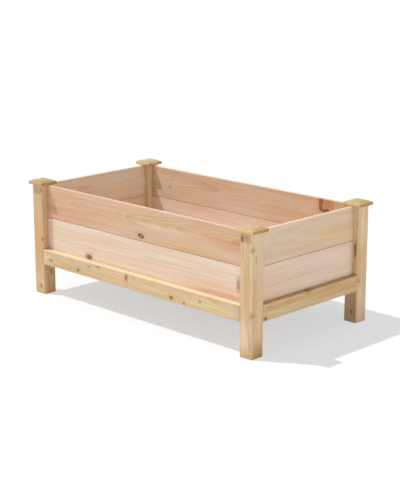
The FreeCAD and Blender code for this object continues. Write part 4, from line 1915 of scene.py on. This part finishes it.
RAIL_WOODS = {
    Side.FRONT: replace(
        PINE,
        seed=41.0,
        early=(0.82, 0.62, 0.37),
        # Painted highlight: the nosing and ledge paler and less orange where they look up.
        upward_painted_light=1.5,
        sky_tint=(1.0, 1.1, 1.3),
        up_axis=UpAxis.WIDTH,
        patches=(
            Patch((-0.44, -0.01, RAIL_OUT), (0.08, 0.02, 0.03), (0.97, 0.96, 0.8)),
            Patch((0.0, 0.0, RAIL_OUT), (0.16, 0.025, 0.03), (1.0, 0.95, 0.92)),
            Patch((0.22, 0.0, RAIL_OUT), (0.09, 0.025, 0.03), (1.04, 0.9, 0.8)),
            Patch((0.43, -0.01, RAIL_OUT), (0.12, 0.03, 0.03), (1.0, 1.02, 0.84)),
        ),
        knots=(
            Knot((-0.505, -0.007, RAIL_OUT), (0.01, 0.0055, 0.02), core=0.4, rim=0.4),
            Knot((-0.334, -0.014, RAIL_OUT), (0.008, 0.0048, 0.02), core=0.8, rim=0.4),
            Knot((-0.266, 0.012, RAIL_OUT), (0.008, 0.004, 0.02), core=0.35, rim=0.35),
            Knot((-0.211, 0.022, RAIL_OUT), (0.007, 0.0035, 0.02), core=0.3, rim=0.35),
            Knot((-0.047, 0.011, RAIL_OUT), (0.0075, 0.0125, 0.02), core=0.9, rim=0.5),
            Knot((0.202, -0.015, RAIL_OUT), (0.008, 0.006, 0.02), core=0.95, rim=0.7),
            Knot((0.27, -0.023, RAIL_OUT), (0.006, 0.0045, 0.02), core=0.6, rim=0.6),
            Knot((0.353, 0.001, RAIL_OUT), (0.006, 0.004, 0.02), core=0.5, rim=0.5),
        ),
    ),
    Side.RIGHT: replace(
        PINE,
        seed=44.5,
        # Painted shade on the ledge, which lies in the board's shadow.
        upward_painted_light=1.3,
        sky_tint=(0.72, 0.62, 0.48),
        up_axis=UpAxis.WIDTH,
        patches=(Patch((-0.14, -0.005, RAIL_OUT), (0.12, 0.03, 0.03), (1.04, 1.06, 1.1)),),
        knots=(
            Knot((-0.257, -0.022, RAIL_OUT), (0.008, 0.0055, 0.02), core=0.95, rim=0.9),
            Knot((-0.017, 0.031, RAIL_OUT), (0.012, 0.005, 0.02), core=0.5, rim=0.4, redness=0.9),
        ),
    ),
    Side.REAR: replace(PINE, seed=47.9, knots=(Knot((0.21, 0.006, RAIL_OUT), (0.009, 0.006, 0.03)),)),
    Side.LEFT: replace(PINE, seed=50.2, knots=(Knot((-0.11, -0.01, RAIL_OUT), (0.008, 0.005, 0.03)),)),
}

BOARD_WOODS = {
    (Side.FRONT, Tier.UPPER): replace(
        UPPER_CEDAR,
        seed=61.3,
        early=(0.83, 0.57, 0.39),
        drift_strength=0.7,
        patches=(
            Patch((-0.4, -0.02, BOARD_OUT), (0.24, 0.06, 0.05), (1.0, 0.88, 0.8)),
            Patch((0.16, 0.0, BOARD_OUT), (0.2, 0.02, 0.05), (1.03, 1.07, 1.08)),
            Patch((0.3, -0.05, BOARD_OUT), (0.25, 0.016, 0.05), (1.0, 0.99, 0.84)),
            Patch((0.48, 0.01, BOARD_OUT), (0.08, 0.008, 0.05), (0.97, 0.85, 0.75)),
        ),
        knots=(Knot((0.014, -0.047, BOARD_OUT), (0.015, 0.0085, 0.03), core=0.8, rim=1.0),),
    ),
    (Side.FRONT, Tier.LOWER): replace(
        LOWER_CEDAR,
        seed=64.8,
        early=(0.95, 0.75, 0.58),
        late=(0.81, 0.53, 0.36),
        drift=(0.93, 0.67, 0.51),
        knots=(
            Knot((-0.293, -0.055, BOARD_OUT), (0.013, 0.009, 0.03), core=0.95, rim=0.8, redness=1.0),
            Knot((0.522, -0.003, BOARD_OUT), (0.006, 0.016, 0.02), core=0.35, rim=0.3, redness=1.0),
            Knot((0.43, -0.058, BOARD_OUT), (0.07, 0.004, 0.02), core=0.0, rim=0.0, redness=0.7),
        ),
    ),
    (Side.RIGHT, Tier.UPPER): replace(
        UPPER_CEDAR,
        seed=68.1,
        ring_width=7.0 * MM,
        ring_strength=0.2,
        hue_strength=0.5,
        early=(0.87, 0.66, 0.47),
        drift=(0.84, 0.62, 0.4),
        patches=(Patch((0.16, -0.01, BOARD_OUT), (0.18, 0.035, 0.05), (1.03, 0.94, 0.8)),),
    ),
    (Side.RIGHT, Tier.LOWER): replace(
        LOWER_CEDAR,
        seed=71.6,
        early=(0.94, 0.71, 0.54),
        late=(0.81, 0.54, 0.38),
        drift=(0.91, 0.65, 0.48),
        ring_strength=0.42,
        streak_strength=0.12,
    ),
    (Side.REAR, Tier.UPPER): replace(
        UPPER_CEDAR,
        seed=75.2,
        early=(0.84, 0.66, 0.49),
        late=(0.69, 0.46, 0.31),
        drift=(0.79, 0.55, 0.41),
        knot_core=(0.3, 0.075, 0.03),
        knot_rim=(0.12, 0.03, 0.012),
        knot_halo=(0.78, 0.34, 0.18),
        knots=(
            Knot((0.438, -0.014, BOARD_IN), (0.006, 0.004, 0.02), core=0.4, rim=0.4),
            Knot((0.519, 0.059, BOARD_IN), (0.005, 0.004, 0.02), core=0.6, rim=0.6),
            Knot((-0.407, 0.047, BOARD_IN), (0.0085, 0.032, 0.005), core=0.95, rim=0.7, redness=1.0),
            Knot((-0.434, 0.02, BOARD_IN), (0.024, 0.0085, 0.005), core=0.95, rim=0.7, redness=1.0),
            Knot((-0.462, 0.04, BOARD_IN), (0.009, 0.026, 0.005), core=0.3, rim=0.0, redness=0.8),
            Knot((-0.435, 0.048, BOARD_IN), (0.024, 0.026, 0.005), core=0.4, rim=0.0, redness=1.0),
            Knot((-0.396, 0.04, BOARD_IN), (0.006, 0.024, 0.004), core=0.0, rim=0.0, redness=0.9),
        ),
    ),
    (Side.REAR, Tier.LOWER): replace(
        LOWER_CEDAR,
        seed=79.4,
        early=(0.94, 0.81, 0.67),
        late=(0.8, 0.58, 0.43),
        drift=(0.9, 0.71, 0.57),
    ),
    (Side.LEFT, Tier.UPPER): replace(
        UPPER_CEDAR,
        seed=83.0,
        early=(0.88, 0.73, 0.57),
        late=(0.73, 0.52, 0.37),
        drift=(0.83, 0.63, 0.48),
    ),
    (Side.LEFT, Tier.LOWER): replace(
        LOWER_CEDAR,
        seed=86.7,
        early=(0.87, 0.7, 0.53),
        late=(0.72, 0.48, 0.32),
        drift=(0.83, 0.6, 0.44),
    ),
}


# ---------------------------------------------------------------------------------------------
# Studio


def in_view(canvas: NodeCanvas) -> Socket:
    """Whether a ray comes from the camera, a reflection or through glass.

    Args:
        canvas: The canvas to draw on.

    Returns:
        1 for such a ray and 0 for others.
    """
    path = canvas.add("ShaderNodeLightPath").outputs
    sight = canvas.math("MAXIMUM", path["Is Camera Ray"], path["Is Glossy Ray"])
    return canvas.math("MAXIMUM", sight, path["Is Transmission Ray"])


@dataclass(frozen=True)
class Lamp:
    """A distant lamp: its light on a surface that faces it, and the degrees that it fills."""

    name: str
    strength: float
    softness: float
    travel: Triple
    tint: Colour = WHITE

    def build(self) -> None:
        """Hangs the lamp in the scene."""
        lamp = bpy.data.lights.new(self.name, "SUN")
        lamp.energy = self.strength
        lamp.color = self.tint
        lamp.angle = math.radians(self.softness)
        holder = bpy.data.objects.new(self.name, lamp)
        holder.rotation_mode = "QUATERNION"
        holder.rotation_quaternion = Vector(self.travel).to_track_quat("-Z", "Y")
        bpy.context.scene.collection.objects.link(holder)


@dataclass(frozen=True)
class Camera:
    """The camera at the photograph's angle, in degrees and metres."""

    azimuth: float = 44.71
    elevation: float = 14.53
    roll: float = -0.05
    distance: float = 5.1413
    target: Triple = (0.0, -0.0264, 0.2)
    shift_right: float = 0.0404
    shift_up: float = 0.058
    lens: float = 95.34
    sensor: float = 36.0
    sight_end: float = 200.0

    def build(self) -> None:
        """Sets up the camera."""
        azimuth, elevation = math.radians(self.azimuth), math.radians(self.elevation)
        level = math.cos(elevation)
        back = Vector((math.sin(azimuth) * level, -math.cos(azimuth) * level, math.sin(elevation)))
        right = Vector((math.cos(azimuth), math.sin(azimuth), 0.0))
        shift = right * self.shift_right + back.cross(right) * self.shift_up
        data = bpy.data.cameras.new("camera")
        data.lens = self.lens
        data.sensor_width = self.sensor
        data.clip_end = self.sight_end
        camera = bpy.data.objects.new("camera", data)
        camera.rotation_mode = "QUATERNION"
        roll = Matrix.Rotation(math.radians(self.roll), 3, "Z").to_quaternion()
        camera.rotation_quaternion = (-back).to_track_quat("-Z", "Y") @ roll
        camera.location = Vector(self.target) + back * self.distance + shift
        bpy.context.scene.collection.objects.link(camera)
        bpy.context.scene.camera = camera


@dataclass
class Studio:
    """The plain pale floor, the daylight and the camera."""

    floor_size: float = 60.0
    floor_tone: Colour = (0.8, 0.8, 0.8)
    seen_floor_tone: Colour = (0.43, 0.43, 0.43)
    seen_floor_glow: Colour = (0.54, 0.55, 0.56)
    sky_strength: float = 0.31
    sky_tint: Colour = (0.95, 0.98, 1.0)
    sun: Lamp = Lamp("sun", 2.65, 1.0, (0.49, 0.308, -1.0), (1.0, 0.98, 0.95))
    fill: Lamp = Lamp("fill", 0.9, 80.0, (-1.0, 0.1, -0.12))
    camera: Camera = Camera()

    def build(self) -> None:
        """Builds the whole studio."""
        bpy.context.scene.view_settings.view_transform = "Standard"
        self._floor()
        self._sky()
        self.sun.build()
        self.fill.build()
        self.camera.build()

    def _floor(self) -> None:
        """Lays the floor, which is drawn a little paler than it lights the bed."""
        half = self.floor_size / 2
        mesh = bpy.data.meshes.new("floor")
        corners = [(-half, -half, 0.0), (half, -half, 0.0), (half, half, 0.0), (-half, half, 0.0)]
        mesh.from_pydata(corners, [], [(0, 1, 2, 3)])
        floor = bpy.data.objects.new("floor", mesh)
        bpy.context.scene.collection.objects.link(floor)
        made, canvas = new_material("studio_floor")
        made.node_tree.nodes.clear()
        plain = canvas.add("ShaderNodeBsdfDiffuse", {"Color": self.floor_tone})
        matte = canvas.add("ShaderNodeBsdfDiffuse", {"Color": self.seen_floor_tone})
        glow = canvas.add("ShaderNodeEmission", {"Color": self.seen_floor_glow})
        seen = canvas.add("ShaderNodeAddShader", {0: matte.outputs[0], 1: glow.outputs[0]})
        feeds = {0: in_view(canvas), 1: plain.outputs[0], 2: seen.outputs[0]}
        mix = canvas.add("ShaderNodeMixShader", feeds)
        canvas.add("ShaderNodeOutputMaterial", {"Surface": mix.outputs[0]})
        mesh.materials.append(made)

    def _sky(self) -> None:
        """Hangs an even sky, which is plain white where it is seen."""
        world = bpy.data.worlds.new("sky")
        bpy.context.scene.world = world
        world.use_nodes = True
        canvas = NodeCanvas(world.node_tree)
        world.node_tree.nodes.clear()
        sight = in_view(canvas)
        feeds = {
            "Color": canvas.blend(sight, self.sky_tint, WHITE),
            "Strength": canvas.times(sight, 1.0 - self.sky_strength, self.sky_strength),
        }
        light = canvas.add("ShaderNodeBackground", feeds)
        canvas.add("ShaderNodeOutputWorld", {"Surface": light.outputs[0]})


# ---------------------------------------------------------------------------------------------
# The whole bed


@dataclass
class GardenBed:
    """The bed: its sub-assemblies and the sizes that they share."""

    slat_count: int = 8
    long_screw_count: int = 5
    short_screw_count: int = 3
    rail_nosing: float = 5.0 * MM
    rail_arris: float = 2.5 * MM
    rail_ledge_arris: float = 0.6 * MM
    notch_gap: float = 2.0 * MM
    beam_gap: float = 0.5 * MM

    def build_posts(self) -> None:
        """Builds the posts and their caps."""
        rail_low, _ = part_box("rail_front")
        for number, corner in enumerate(Corner):
            finish = POST_WOODS[corner]
            Post(f"post_{corner.word}", "post_wood", finish, corner=corner).build(rail_low.z)
            finish = replace(CAP_PINE, seed=20.0 + 3.1 * number, tone=CAP_TONES[corner])
            Cap(f"cap_{corner.word}", "cap_wood", finish).build()

    def build_sides(self) -> None:
        """Builds the rails and the boards."""
        radii = (self.rail_nosing, self.rail_arris, self.rail_arris, self.rail_ledge_arris)
        for side in Side:
            rail = f"rail_{side.word}"
            board_low, board_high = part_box(f"board_{side.word}_lower")
            rail_low, rail_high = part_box(rail)
            outward = Vector((*side.value[1], 0.0))
            setback = outward.dot((board_low + board_high) / 2 - (rail_low + rail_high) / 2)
            bar = TonguedBar(rail, "rail_wood", RAIL_WOODS[side], side=side, radii=radii)
            bar.tongue_middle = setback
            bar.build()
            for tier in Tier:
                finish = BOARD_WOODS[side, tier]
                node = f"board_{side.word}_{tier.word}"
                TonguedBar(node, "board_wood", finish, side=side).build()

    def build_floor(self) -> None:
        """Builds the cleats, the beam, the slats and the screws."""
        cleats = [self._cleat(number, side) for number, side in enumerate(Side)]
        for cleat in cleats:
            cleat.build()
        Beam("floor_beam", "floor_wood", replace(PINE, seed=90.0)).build()
        slats = [self._slat(number) for number in range(1, self.slat_count + 1)]
        for slat in slats:
            slat.build()
        ScrewSet("slat_screws").build(slats)
        ScrewSet("cleat_screws").build(cleats)

    def _cleat(self, number: int, side: Side) -> Cleat:
        """Sizes one cleat.

        Args:
            number: Its number, which picks its wood.
            side: Its side of the bed. The short sides' cleats house the beam.

        Returns:
            The cleat.
        """
        is_long = side in (Side.FRONT, Side.REAR)
        beam_low, beam_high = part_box("floor_beam")
        beam_width = beam_high.y - beam_low.y
        return Cleat(
            f"cleat_{side.word}",
            "floor_wood",
            replace(PINE, seed=80.0 + number),
            side=side,
            screw_count=self.long_screw_count if is_long else self.short_screw_count,
            housing=None if is_long else (beam_width + 2 * self.beam_gap, Beam.lap_depth),
        )

    def _slat(self, number: int) -> Slat:
        """Sizes one slat.

        Args:
            number: Its number, from 1 on. The first and the last are notched round the posts.

        Returns:
            The slat.
        """
        node = f"floor_slat_{number}"
        low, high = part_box(node)
        _, post_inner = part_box("post_front_left")
        cleat_low, cleat_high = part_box("cleat_front")
        outer_side = {1: 1, self.slat_count: -1}.get(number, 0)
        slat_inner = low.x if outer_side > 0 else -high.x
        notch_width = post_inner.x + self.notch_gap - slat_inner
        return Slat(
            node,
            "floor_wood",
            replace(SLAT_CEDAR, seed=100.0 + 1.9 * number),
            screw_line=-(cleat_low.y + cleat_high.y) / 2,
            notch=(notch_width, post_inner.y + self.notch_gap - low.y),
            outer_side=outer_side,
        )

    def dress_dowels(self, frame: dict) -> None:
        """Gives the hidden cap dowels their wood.

        Args:
            frame: The loaded frame.
        """
        dowels = frame["nodes"]["cap_dowels"]
        low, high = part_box("cap_dowels")
        dowels.data.materials.clear()
        dowels.data.materials.append(DOWEL_PINE.material("dowel_wood", (high - low) / 2))
        LOG.info("cap_dowels: dressed")


def main() -> None:
    """Builds the bed round its frame, then the studio."""
    logging.basicConfig(level=logging.INFO, format="%(message)s")
    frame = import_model()
    bed = GardenBed()
    bed.build_posts()
    bed.build_sides()
    bed.build_floor()
    bed.dress_dowels(frame)
    Studio().build()


if __name__ == "__main__":
    main()
